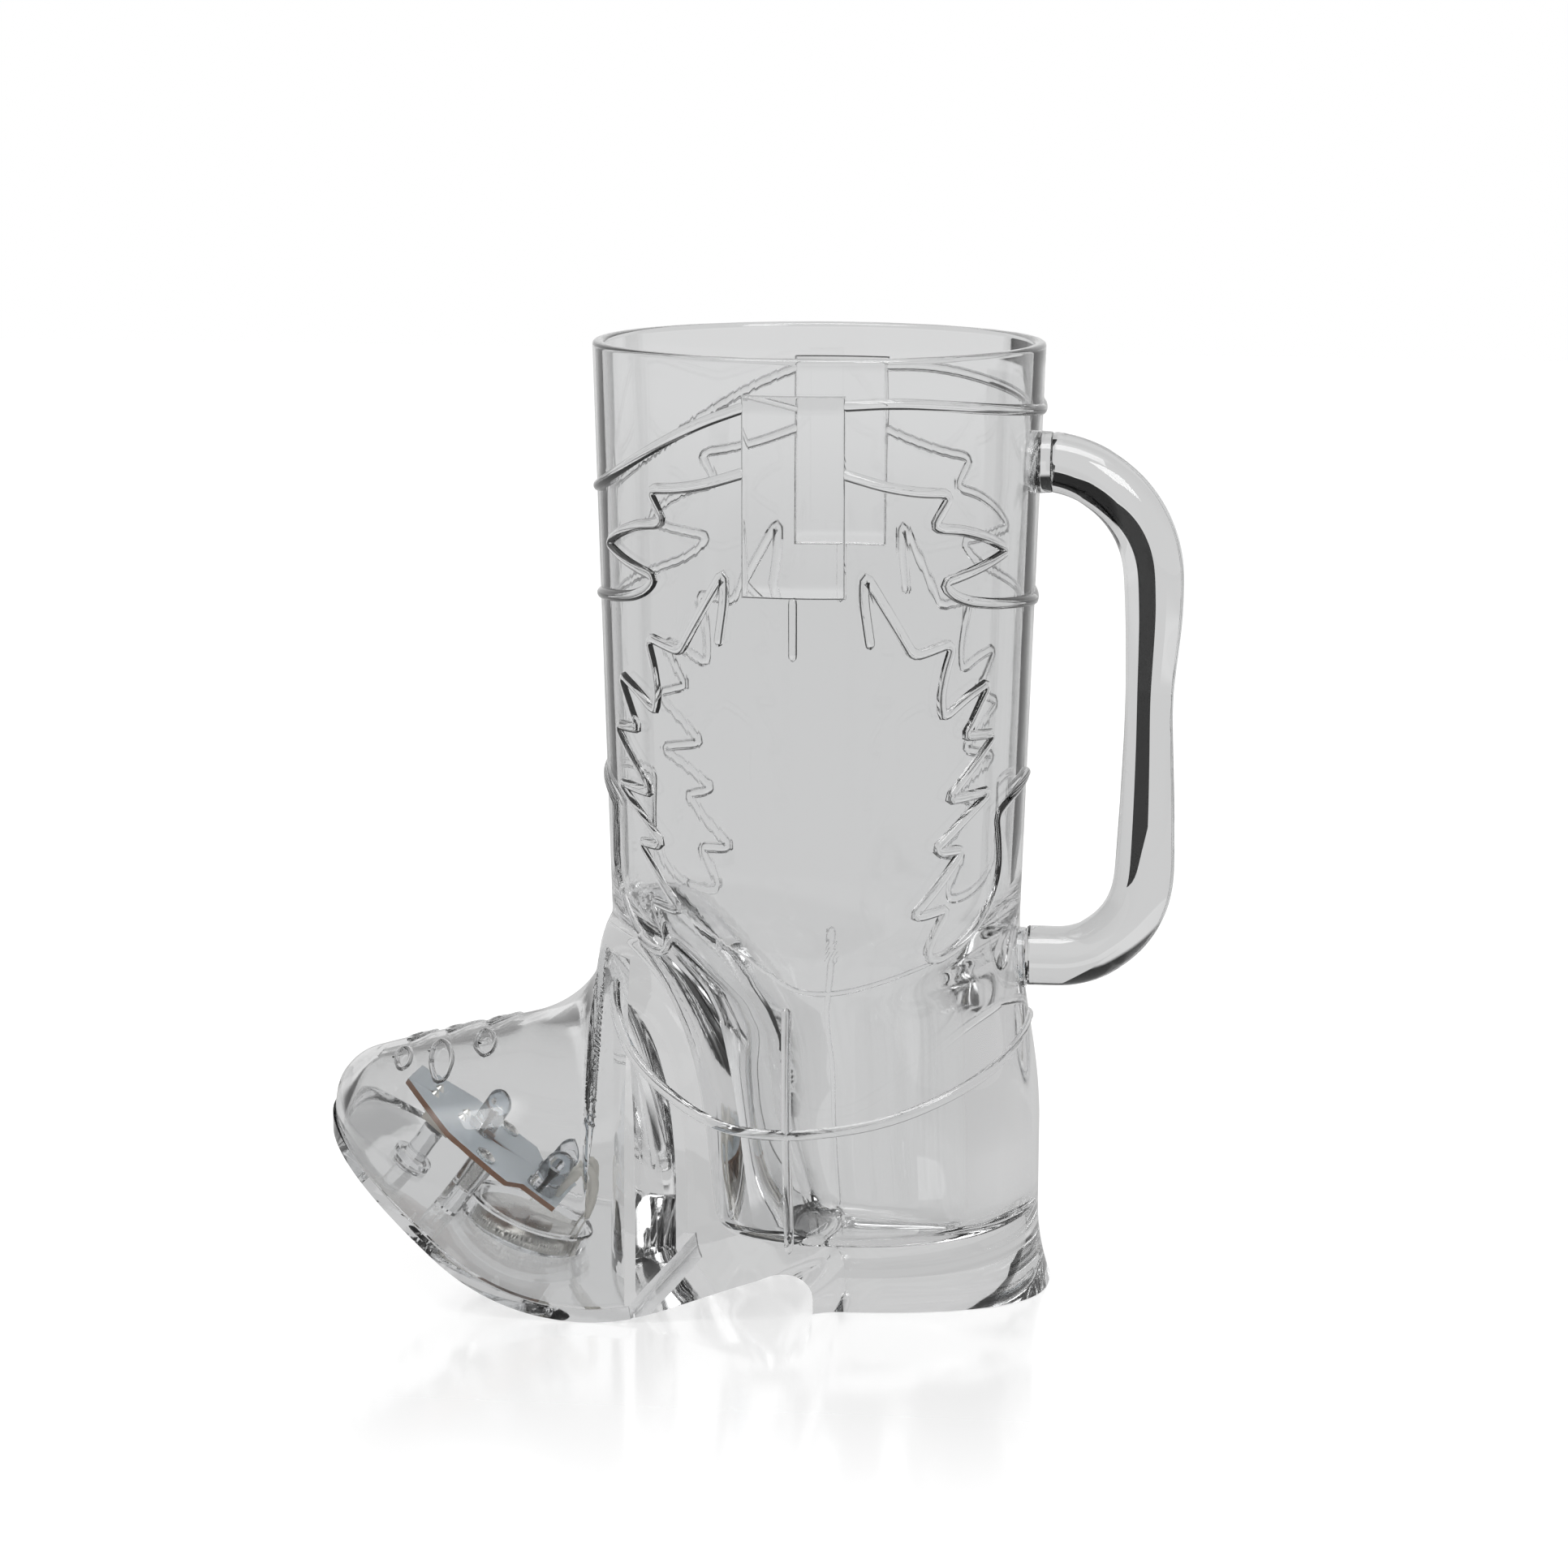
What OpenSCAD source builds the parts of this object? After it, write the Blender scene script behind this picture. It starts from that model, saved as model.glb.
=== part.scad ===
// Light-up boot cup: a clear moulded boot with a glued side handle.
// The toe holds a small light unit that a glued sole plate closes from below.
// Lengths are in millimetres. The toe points to -X, the handle to +X, +Z is up.

/* [Boot shaft] */
// Height of the boot
boot_h = 178; // [160:1:200]
// Outer radius at the rim
rim_r = 42; // [38:0.5:46]
// Outer radius at the ankle
ankle_r = 38.4; // [36:0.2:41]
// Height where the straight shaft starts
ankle_z = 70; // [66:1:76]
// Thickness of the wall at the rim
rim_wall = 2.3; // [1.8:0.1:3]
// Radius that rounds the inner edge of the rim
rim_round = 0.8; // [0.4:0.1:1]

/* [Pull straps] */
// Half of the width of a pull strap
strap_half = 9.4; // [8:0.2:12]
// Height of the upper end of a strap
strap_top = 171.5; // [168:0.5:173]
// Height of the lower end of a strap
strap_low = 135; // [125:1:145]
// How far a strap stands out of the shaft
strap_t = 0.8; // [0.5:0.1:1.2]
// Width of the raised seams
rib_w = 1.8; // [1.4:0.1:2.4]

/* [Foot] */
// Distance from the shaft axis to the tip of the toe
toe_reach = 91.5; // [86:0.5:98]
// Half of the width at the ball of the foot
ball_half = 40; // [36:0.5:42]
// Half of the width at the waist
waist_half = 35; // [32:0.5:38]
// Half of the width of the heel where it stands
heel_half = 27.5; // [24:0.5:32]
// Distance from the shaft axis to the ball of the foot
ball_d = 38; // [35:0.5:40]
// Slope of the vamp
vamp_rise = 13.5; // [10:0.5:16]
// Radius of the sweep from the vamp up into the shaft
sweep_r = 23; // [18:1:26]
// Radius that rounds the top of the toe
cap_r = 7; // [5:0.5:9]
// Height of the centre of that radius
cap_z = 33.5; // [32:0.5:37]
// Swell of the heel counter behind the shaft
counter = 4; // [2:0.5:6]
// Flare at the bottom of the heel
heel_flare = 2.5; // [1:0.1:3.5]
// Thickness of the walls round the light unit
toe_wall = 2.5; // [2:0.1:3.2]

/* [Sole] */
// Radius of the rocker under the ball of the foot
rocker_r = 48; // [44:1:56]
// Slope of the sole under the toe
toe_spring = 37.2; // [34:0.2:39]
// Slope of the sole in front of the heel
arch_rise = 18; // [14:0.5:20]
// Radius at the top of the arch
arch_r = 6; // [4:0.5:7]
// Distance from the shaft axis back to the front of the heel
breast = 3; // [2:0.5:6]
// Thickness of the glued sole plate
plate_t = 2.4; // [2:0.1:3]
// How far the plate stands out past the boot
welt = 0.5; // [0.2:0.1:1]
// Distance from the shaft axis to the rear end of the plate
plate_end = 29.5; // [28:0.5:32]
// Width of the ledge that the plate's rear end is glued to
ledge = 1.6; // [1:0.1:3]

/* [Cup inside] */
// Height of the floor
floor_z = 12.5; // [12:0.5:16]
// Height where the round bore starts to narrow
bore_z = 78; // [76:1:90]
// Height where the narrowed well starts
well_z = 66; // [64:1:72]
// Half of the length of the well at its top
well_top_l = 31; // [26:0.5:32]
// Half of the width of the well at its top
well_top_w = 33.5; // [28:0.5:34]
// Half of the length of the floor
floor_l = 26; // [18:0.5:27]
// Half of the width of the floor
floor_w = 27; // [20:0.5:27.5]
// How far behind the shaft axis the floor lies
floor_back = 7; // [5:0.5:9]
// Radius round the edge of the floor
floor_round = 4; // [2:0.5:6]

/* [Handle] */
// Radius of the handle's bar
bar_r = 5.6; // [4.6:0.1:6.4]
// Radius of the grip's waist
grip_waist_r = 4.4; // [3.6:0.1:5]
// Height of the upper arm
arm_top_z = 156; // [148:1:162]
// Height of the lower arm
arm_low_z = 62.4; // [60:0.2:68]
// Bend radius of the upper corner
bend_top = 18.5; // [14:0.5:18.5]
// Bend radius of the lower corner
bend_low = 16.4; // [8:0.2:18]
// Distance from the shaft axis to the faces that the handle is glued to
stub_d = 43.6; // [43:0.1:45]
// Straight length of the upper arm between its glued face and the bend
arm_l = 0.2; // [0.2:0.1:4]
// Radius of the locating spigots
spigot_r = 3.2; // [2.4:0.1:3.6]
// Length of the locating spigots
spigot_l = 3; // [2:0.5:4]

/* [Light unit] */
// Height of the board's upper face over the sole's outer face
board_n = 14.8; // [13.5:0.1:16]
// Thickness of the board
board_t = 1; // [0.8:0.1:1.6]
// How far the board reaches up the toe
board_up = 23.5; // [22:0.5:24]
// How far the board reaches down to the ball
board_down = 12; // [11.5:0.5:14]
// Half of the width of the board
board_half = 15.5; // [15:0.5:17]
// Half of the width of the board's narrow end at the toe
board_tip = 6.5; // [5:0.5:8]
// Half of the width of the board's tail
board_tail = 10.5; // [10:0.5:12]
// Distance of the two screws from the middle
screw_y = 12.6; // [12:0.1:13]
// Place of the screws along the board
screw_u = -3.9; // [-5:0.1:-3]
// Radius of a screw's shank
screw_r = 1; // [0.8:0.1:1.2]
// Radius of a screw's head
screw_head_r = 2; // [1.8:0.1:2.2]
// Radius of the bosses under the board
boss_r = 2.4; // [2:0.1:2.6]
// Radius of a lamp's lens
lamp_r = 2.5; // [2:0.1:2.7]
// Height of a lamp
lamp_h = 8.7; // [7:0.1:10]

/* [Switch and button] */
// Place of the switch along the board
switch_u = -15; // [-16:0.1:-13]
// Width of the switch's body
switch_w = 6; // [5:0.1:6.4]
// Height of the switch's body
switch_h = 3.5; // [3:0.1:4]
// Radius of the switch's plunger
plunger_r = 1.7; // [1.4:0.1:1.9]
// How far the plunger stands out of the switch
plunger_out = 1; // [0.8:0.1:1.4]
// Radius of the push button
button_r = 3; // [2.5:0.1:3.5]
// How far the button stands out of the sole
button_out = 0.9; // [0.7:0.1:1.5]
// Radius of the button's stem
stem_r = 2.1; // [1.8:0.1:2.4]
// Travel of the button
button_travel = 0.5; // [0.3:0.1:0.6]

/* [Battery] */
// Angle of the battery cup round the rocker
cup_a = 24; // [22:0.5:25]
// Radius of the coin cell
cell_r = 10; // [8:0.1:10.2]
// Thickness of the coin cell
cell_h = 3.2; // [2:0.1:3.4]
// Gap round the coin cell
cell_gap = 0.6; // [0.5:0.05:0.8]
// Thickness of the cup's wall
cup_wall = 2; // [1.8:0.1:2.6]
// Thickness of the cup's ceiling
cup_top = 1.2; // [1:0.1:1.6]
// Depth of the cover below the sole
cover_in = 1.25; // [1.1:0.05:1.5]
// Thickness of the cover
cover_t = 1.5; // [1.4:0.1:2]
// Turn that unlocks the cover
cover_turn = 50; // [40:1:60]
// Diameter of the wires
wire_d = 1.7; // [1.2:0.1:2]

/* [Fits] */
// Radial clearance of pieces that turn or slide
run_fit = 0.08; // [0.04:0.01:0.1]
// Clearance of pieces that are set in place
set_fit = 0.05; // [0.03:0.01:0.08]

/* [Hidden] */
$fn = 48;
clear_plastic = [0.82, 0.85, 0.88];
over = 1;
// Distance from the shaft axis to the middle of the grip
grip_d = stub_d + arm_l + bend_top;
// X of the shaft axis, which puts the whole boot's middle on the origin
shaft_x = (toe_reach + welt - grip_d - bar_r) / 2;

// Smooth step from 0 to 1, and a quarter of a rounded square
function ease(t) = let (u = max(0, min(1, t))) u * u * (3 - 2 * u);
function quarter(t, n) = pow(max(0, 1 - pow(max(0, min(1, t)), n)), 1 / n);
function blend_max(a, b, k) = let (h = max(0, k - abs(a - b)) / k) max(a, b) + h * h * k / 4;

// Side profile. Distances d run from the shaft axis towards the toe
vamp_n = [sin(vamp_rise), cos(vamp_rise)];
cap_c = [toe_reach - cap_r, cap_z];
vamp_p = cap_c + cap_r * vamp_n;
sweep_d = ankle_r + sweep_r;
sweep_c = [sweep_d, vamp_p.y + (sweep_r - vamp_n.x * (sweep_d - vamp_p.x)) / vamp_n.y];
sweep_p = sweep_c - sweep_r * vamp_n;
function shaft_r(z) = ankle_r + (rim_r - ankle_r) * max(0, z - ankle_z) / (boot_h - ankle_z);
function ridge(d) =
    d > vamp_p.x ? cap_c.y + sqrt(max(0, cap_r * cap_r - pow(d - cap_c.x, 2))) :
    d > sweep_p.x ? vamp_p.y + (vamp_p.x - d) * tan(vamp_rise) :
    d > ankle_r ? sweep_c.y - sqrt(max(0, sweep_r * sweep_r - pow(d - sweep_c.x, 2))) :
    sweep_c.y + ankle_r - d;
function reach(z) =
    z >= sweep_c.y ? shaft_r(z) :
    z > sweep_p.y ? sweep_c.x - sqrt(sweep_r * sweep_r - pow(z - sweep_c.y, 2)) :
    z > vamp_p.y ? vamp_p.x - (z - vamp_p.y) / tan(vamp_rise) :
    z > cap_c.y ? cap_c.x + sqrt(cap_r * cap_r - pow(z - cap_c.y, 2)) : toe_reach;

// Sole profile: a rocker arc, a straight rise under the toe and a straight rise to the arch
spring_d = ball_d + rocker_r * sin(toe_spring);
spring_z = rocker_r * (1 - cos(toe_spring));
arch_d = ball_d - rocker_r * sin(arch_rise);
arch_z = rocker_r * (1 - cos(arch_rise));
plate_a = -asin((ball_d - plate_end) / rocker_r);
function sole(d) =
    d > spring_d ? spring_z + (d - spring_d) * tan(toe_spring) :
    d > ball_d ? rocker_r - sqrt(rocker_r * rocker_r - pow(d - ball_d, 2)) : 0;

// Half widths of the foot, the heel and the whole boot at distance d and height z
toe_blunt = 2.4;
vamp_round = 2.3;
side_share = 0.3;
heel_rise = 45;
counter_rise = 40;
flare_h = 14;
waist_in = 4;
heel_square = 0.6;
merge_d = 8;
merge_k = 4;
function foot_half(d, grow = 0) =
    d < ball_d ? waist_half + grow + (ball_half - waist_half) * ease(d / ball_d) :
    (ball_half + grow) * quarter((d - ball_d) / (toe_reach + grow - ball_d), toe_blunt);
function side_top(d) = sole(d) + side_share * (ridge(d) - sole(d));
function foot(d, z) = let (s = side_top(d))
    foot_half(d) * (z < s ? 1 : quarter((z - s) / max(0.001, ridge(d) - s), vamp_round));
function back(z) = shaft_r(z) + counter * ease((ankle_z - z) / counter_rise)
    + heel_flare * pow(max(0, 1 - z / flare_h), 2);
function heel_wide(z) = heel_half + (shaft_r(z) - heel_half) * ease(z / heel_rise);
function heel(d, z) = heel_wide(z)
    * quarter(max(0, -d) / back(z), 2 + heel_square * ease((ankle_z - z) / counter_rise));
function front(d, z) = let (r = shaft_r(z) - waist_in * ease((heel_rise - z) / heel_rise))
    blend_max(foot(max(0, d), z), sqrt(max(0, r * r - d * d)), merge_k);
function half(d, z) = let (m = z >= ankle_z ? 1 : ease((d + merge_d) / (2 * merge_d)))
    z >= ankle_z + merge_k * 2 ? sqrt(max(0, shaft_r(z) * shaft_r(z) - d * d)) :
    z >= ankle_z ? (d < 0 ? heel(d, z) : max(foot(d, z), sqrt(max(0, pow(shaft_r(z), 2) - d * d)))) :
    (1 - m) * heel(d, z) + (m > 0 ? m * front(d, z) : 0);

// Outline of the boot at height z, from the heel along the near side to the toe and back
side_n = 28;
function along(i, z) = (reach(z) - back(z)) / 2 - (reach(z) + back(z)) / 2 * cos(180 * i / side_n);
function outline(z) = let (near = [for (i = [0:side_n]) let (d = along(i, z))
        [d, i == 0 || i == side_n ? 0 : -half(d, z)]])
    concat(near, [for (i = [side_n - 1:-1:1]) [near[i].x, -near[i].y]]);
function inset(p, t) = [for (i = [0:len(p) - 1])
    let (a = p[(i + len(p) - 1) % len(p)], b = p[(i + 1) % len(p)], e = b - a)
        p[i] + t * [-e.y, e.x] / norm(e)];
function to_ring(p, z) = [for (q = p) [shaft_x - q.x, q.y, z]];

// Skin over a stack of rings that run clockwise, seen from the last one, with as many points each
module skin(rings) {
    n = len(rings[0]);
    m = len(rings);
    sides = [for (k = [0:m - 2], i = [0:n - 1])
        [k * n + i, k * n + (i + 1) % n, (k + 1) * n + (i + 1) % n, (k + 1) * n + i]];
    bottom = [for (i = [n - 1:-1:0]) i];
    top = [for (i = [0:n - 1]) (m - 1) * n + i];
    polyhedron([for (r = rings) each r], concat(sides, [bottom, top]), convexity = 10);
}

// Side profiles drawn in X and Z, stretched across the boot
module across(w) rotate([90, 0, 0]) linear_extrude(w, center = true) children();
function sole_arc(a, n) = [shaft_x - ball_d - (rocker_r - n) * sin(a), rocker_r - (rocker_r - n) * cos(a)];
function sole_toe(n) = let (l = (toe_reach + welt + 5 - spring_d) / cos(toe_spring))
    sole_arc(toe_spring, n) + l * [-cos(toe_spring), sin(toe_spring)];
arc_n = 12;
function sole_line(n) = [for (i = [0:arc_n]) sole_arc(plate_a + (toe_spring - plate_a) * i / arc_n, n)];

// Frame of a place on the rocker: z points into the boot, x runs down towards the heel
module on_sole(a) translate([shaft_x - ball_d, 0, rocker_r]) rotate([0, a, 0]) translate([0, 0, -rocker_r])
    children();
function sole_point(a, p) = let (r = p.z - rocker_r)
    [shaft_x - ball_d + p.x * cos(a) + r * sin(a), p.y, rocker_r - p.x * sin(a) + r * cos(a)];

// Everything under the boot: rocker, arch and the space in front of the heel
module under_sole() {
    arch_steps = 6;
    breast_x = shaft_x + breast;
    arc_x = breast_x - arch_r;
    arc_z = arch_z + (arch_d + arc_x - shaft_x) * tan(arch_rise) - arch_r / cos(arch_rise);
    arch = [for (i = [0:arch_steps]) let (a = 90 + arch_rise - (90 + arch_rise) * i / arch_steps)
        [arc_x + arch_r * cos(a), arc_z + arch_r * sin(a)]];
    toe = sole_toe(plate_t);
    plate = [for (i = [arc_n:-1:0]) sole_line(plate_t)[i]];
    ball_n = 8;
    ball = [for (i = [0:ball_n]) sole_arc(plate_a - (arch_rise + plate_a) * i / ball_n, 0)];
    low = -20;
    across(200) polygon(concat([[toe.x, low], toe], plate, ball, arch, [[breast_x, 0], [breast_x, low]]));
}

// Inside of the cup: a round bore that narrows into an oval well
core_n = 48;
function oval(c, l, w, z) = [for (i = [0:core_n - 1]) let (a = 360 * i / core_n)
    [shaft_x + c + l * cos(a), -w * sin(a), z]];
module cup_core() {
    steps = 5;
    rim_in = rim_r - rim_wall;
    bore_in = shaft_r(bore_z) - rim_wall;
    shoulder = 0.62;
    bow = 2.2;
    well_back = floor_back / 2;
    rim_curve = [[-0.05, 1.6], [0.3, 0.4], [1, -0.03]];
    floor_rings = [for (i = [0:steps]) let (a = 90 * i / steps, b = floor_round * (1 - sin(a)))
        oval(floor_back, floor_l - b, floor_w - b, floor_z + floor_round * (1 - cos(a)))];
    mid = (floor_z + floor_round + well_z) / 2;
    neck = (well_z + bore_z) / 2;
    well_rings = [
        oval((floor_back + well_back) / 2, (floor_l + well_top_l) / 2 - bow, (floor_w + well_top_w) / 2, mid),
        oval(well_back, well_top_l, well_top_w, well_z),
        oval(well_back * (1 - shoulder), well_top_l + (bore_in - well_top_l) * shoulder,
            well_top_w + (bore_in - well_top_w) * shoulder, neck),
        oval(0, bore_in, bore_in, bore_z)];
    rim_rings = [for (q = rim_curve) let (r = rim_in + rim_round * q[0])
        oval(0, r, r, boot_h - rim_round * q[1])];
    skin(concat(floor_rings, well_rings, rim_rings));
}

// Space for the light unit, open below, with the round shaft wall behind it
module toe_space() {
    roof_z = sweep_c.y - toe_wall - 3;
    back_r = ankle_r + 0.4;
    far = 200;
    levels = concat([-5, 10, 20, 26, 30], [for (z = [33:1.5:roof_z]) z]);
    difference() {
        intersection() {
            skin([for (z = levels) to_ring(inset(outline(max(0, z + toe_wall)), toe_wall), z)]);
            translate([shaft_x - plate_end - ledge - far, -far / 2, -far / 2]) cube(far);
        }
        translate([shaft_x, 0, -far / 2]) cylinder(r = back_r, h = far, $fn = 96);
    }
}

// Straight seams: one under each strap, one up each side of the foot, and three stitches over the vamp
seam_l = 12;
side_seam_d = 1.1;
side_seam_z = [13, 57];
stitch_d = [63.4, 72, 79.5];
stitch_half = 2.5;
module seam(a, b) hull() for (p = [a, b]) translate(p) sphere(r = rib_w / 2, $fn = 10);
module seams() {
    for (side = [-1, 1]) {
        low = strap_low - seam_l;
        seam([shaft_x, side * shaft_r(strap_low), strap_low], [shaft_x, side * shaft_r(low), low]);
        x = shaft_x - side_seam_d;
        seam([x, side * half(side_seam_d, side_seam_z[0]), side_seam_z[0]],
            [x, side * half(side_seam_d, side_seam_z[1]), side_seam_z[1]]);
    }
    for (d = stitch_d) seam([shaft_x - d, -stitch_half, ridge(d)], [shaft_x - d, stitch_half, ridge(d)]);
}

// Pull strap sewn to one side of the shaft
module strap(side) intersection() {
    h = strap_top - strap_low;
    translate([shaft_x, 0, strap_low - over])
        cylinder(r1 = shaft_r(strap_low - over) + strap_t, r2 = shaft_r(strap_top + over) + strap_t,
            h = h + 2 * over, $fn = 96);
    translate([shaft_x, side * rim_r, strap_low + h / 2]) cube([2 * strap_half, rim_r, h], center = true);
}

// Short boss that an arm of the handle is glued to, with some draft
module stub(z) {
    root = ankle_r - rim_wall / 2;
    draft = 0.5;
    tip = 0.2;
    n = 30;
    translate([shaft_x, 0, z]) rotate([0, 90, 0]) rotate(180 / n) hull() {
        translate([0, 0, root]) cylinder(r = bar_r + draft, h = tip, $fn = n);
        translate([0, 0, stub_d - tip]) cylinder(r = bar_r, h = tip, $fn = n);
    }
}

module socket(z) {
    translate([shaft_x + stub_d - spigot_l - set_fit, 0, z]) rotate([0, 90, 0])
        cylinder(r = spigot_r + 2 * set_fit, h = spigot_l + over);
}

module boot_shell() color(clear_plastic) {
    heel_levels = [0, 3.5, 7, 11, 16, 22, 28, 32];
    vamp_levels = [for (z = [34:1.5:52]) z];
    ankle_levels = [55, 58, 62, 66, ankle_z, ankle_z + merge_k * 2, boot_h - rim_round, boot_h];
    levels = concat(heel_levels, vamp_levels, ankle_levels);
    difference() {
        union() {
            skin([for (z = levels) to_ring(z < boot_h ? outline(z) : inset(outline(z), rim_round), z)]);
            stub(arm_top_z);
            stub(arm_low_z);
            strap(-1);
            strap(1);
            seams();
        }
        cup_core();
        toe_space();
        under_sole();
        socket(arm_top_z);
        socket(arm_low_z);
    }
}

// Quarter of a bent bar, turned about Y
module elbow(r, from) rotate([90, from, 0]) rotate_extrude(angle = 90) translate([r, 0]) circle(bar_r);

module handle() color(clear_plastic) {
    low_z = arm_low_z + bend_low;
    high_z = arm_top_z - bend_top;
    grip_h = high_z - low_z;
    dip_at = 0.56;
    dip = bar_r - grip_waist_r;
    dip_r = (grip_h * grip_h / 16 + dip * dip) / (2 * dip);
    translate([shaft_x + grip_d, 0, low_z]) rotate_extrude() difference() {
        square([bar_r, grip_h]);
        translate([grip_waist_r + dip_r, grip_h * dip_at]) circle(dip_r, $fn = 96);
    }
    translate([shaft_x + grip_d - bend_low, 0, low_z]) elbow(bend_low, 90);
    translate([shaft_x + grip_d - bend_top, 0, high_z]) elbow(bend_top, 0);
    for (arm = [[arm_low_z, bend_low], [arm_top_z, bend_top]])
        translate([shaft_x, 0, arm[0]]) rotate([0, 90, 0]) {
            translate([0, 0, stub_d]) cylinder(r = bar_r, h = grip_d - arm[1] - stub_d);
            translate([0, 0, stub_d - spigot_l]) cylinder(r = spigot_r, h = spigot_l + set_fit);
        }
}

// Plan of the sole plate, as a polygon in X and Y
module plate_plan() {
    n = 26;
    near = [for (i = [0:n]) let (d = plate_end - 4 + (toe_reach + welt - plate_end + 4) * sin(90 * i / n))
        [shaft_x - d, -foot_half(d, welt)]];
    polygon(concat(near, [for (i = [n - 1:-1:0]) [near[i].x, -near[i].y]]));
}

cup_r = cell_r + cell_gap;
cell_n = cover_in + cover_t + set_fit;
leaf_gap = 0.65;
cup_in = cell_n + cell_h + leaf_gap;
lug_n = cover_in + cover_t * 0.4;
lug_t = 0.6;
lug_out = 0.9;
lug_half = 12;
lug_gap = 0.1;
entry_gap = 3;
coin_slot_l = 12.8;
coin_slot_w = 2;
contact_lift = 0.2;
tab_h = 3.4;
contact_t = 0.3;
contact_w = 3;
plus_y = -3.5;
minus_y = 3;
plus_x = cell_r - 0.15;
minus_x = 8.3;
tab_n = cup_in + cup_top + tab_h;

// Ring sector for the cover's lugs and their ways in
module sector(r, h, half_a) rotate(-half_a) rotate_extrude(angle = 2 * half_a) square([r, h]);

// Battery cup, with a groove and two ways in for the cover's lugs
module battery_cup_cut() {
    slot = contact_t + 2 * set_fit;
    translate([0, 0, -over]) cylinder(r = cup_r, h = cup_in + over);
    translate([0, 0, lug_n - lug_gap]) cylinder(r = cup_r + lug_out, h = lug_t + 2 * lug_gap);
    for (s = [90, 270]) rotate(s + cover_turn) translate([0, 0, -over])
        sector(cup_r + lug_out, lug_n + lug_t + lug_gap + over, lug_half + entry_gap);
    translate([plus_x - set_fit, plus_y - contact_w / 2 - set_fit, cell_n])
        cube([slot, contact_w + 2 * set_fit, tab_n]);
    translate([minus_x - set_fit, minus_y - contact_w / 2 - set_fit, cell_n])
        cube([slot, contact_w + 2 * set_fit, tab_n]);
}

module toe_sole() color(clear_plastic) difference() {
    union() {
        intersection() {
            across(4 * ball_half) polygon(concat(sole_line(0), [sole_toe(0), sole_toe(plate_t)],
                [for (i = [arc_n:-1:0]) sole_line(plate_t)[i]]));
            translate([0, 0, -over]) linear_extrude(boot_h) plate_plan();
        }
        on_sole(toe_spring) for (s = [-1, 1]) translate([screw_u, s * screw_y, plate_t / 2])
            cylinder(r = boss_r, h = board_n - board_t - plate_t / 2);
        on_sole(cup_a) translate([0, 0, plate_t / 2])
            cylinder(r = cup_r + cup_wall, h = cup_in + cup_top - plate_t / 2);
    }
    on_sole(cup_a) battery_cup_cut();
    on_sole(toe_spring) {
        translate([switch_u, 0, -over]) cylinder(r = button_r + run_fit, h = plate_t + 2 * over);
        for (s = [-1, 1]) translate([screw_u, s * screw_y, board_n - board_t - screw_depth])
            cylinder(r = screw_r, h = screw_depth + over);
    }
}

module battery_cover() color(clear_plastic) on_sole(cup_a) difference() {
    union() {
        translate([0, 0, cover_in]) cylinder(r = cup_r - run_fit, h = cover_t);
        for (s = [90, 270]) rotate(s) translate([0, 0, lug_n])
            sector(cup_r + lug_out - 2 * lug_gap, lug_t, lug_half);
    }
    translate([-coin_slot_l / 2, -coin_slot_w / 2, cover_in - over])
        cube([coin_slot_l, coin_slot_w, over + cover_t / 2]);
}

// Push button: cap outside the sole, flange inside it and a stem up to the switch
flange_t = 1;
flange_out = 0.9;
switch_n = board_n - board_t - switch_h;
plunger_n = switch_n - plunger_out;
module push_button() color(clear_plastic) on_sole(toe_spring) translate([switch_u, 0, 0]) {
    translate([0, 0, -button_out]) cylinder(r = button_r, h = button_out + plate_t + set_fit);
    translate([0, 0, plate_t + set_fit]) cylinder(r = button_r + flange_out, h = flange_t);
    translate([0, 0, plate_t + set_fit + flange_t])
        cylinder(r = stem_r, h = plunger_n - plate_t - flange_t - 2 * set_fit);
}

// Lamps stand at these places on the board, each on two leads
lamp_places = [[-7.7, 0], [7.5, -6], [7.5, 6]];
lead_w = 0.5;
lead_pitch = 2.54;
lead_below = 1.6;
lead_up = 3.4;
cup_h = 1.4;
post_h = 1.1;
lens_rim = 0.4;
lens_rim_h = 1;
hole_r = 0.45;
wire_u = 10.4;

module board_plan() {
    ear = 6;
    ear_cut = 1;
    taper = 11.5;
    tail = 4.5;
    tail_cut = 2.5;
    near = [[-board_up, -board_tip], [-board_up + taper, -board_half + ear_cut], [-ear, -board_half],
        [tail - tail_cut, -board_half], [tail, -board_tail], [board_down, -board_tail]];
    polygon(concat(near, [for (i = [len(near) - 1:-1:0]) [near[i].x, -near[i].y]]));
}

module circuit_board() color([0.86, 0.9, 0.94]) on_sole(toe_spring)
    translate([0, 0, board_n - board_t]) difference() {
        linear_extrude(board_t) board_plan();
        translate([0, 0, -over]) {
            for (s = [-1, 1]) translate([screw_u, s * screw_y, 0])
                cylinder(r = screw_r + set_fit, h = board_t + 2 * over);
            for (p = lamp_places, s = [-1, 1]) translate([p.x, p.y + s * lead_pitch / 2, 0])
                cylinder(r = hole_r, h = board_t + 2 * over);
            for (x = [-1, 1], y = [-1, 1]) translate([switch_u + x * pin_x, y * pin_y, 0])
                cylinder(r = hole_r, h = board_t + 2 * over);
        }
    }

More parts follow.
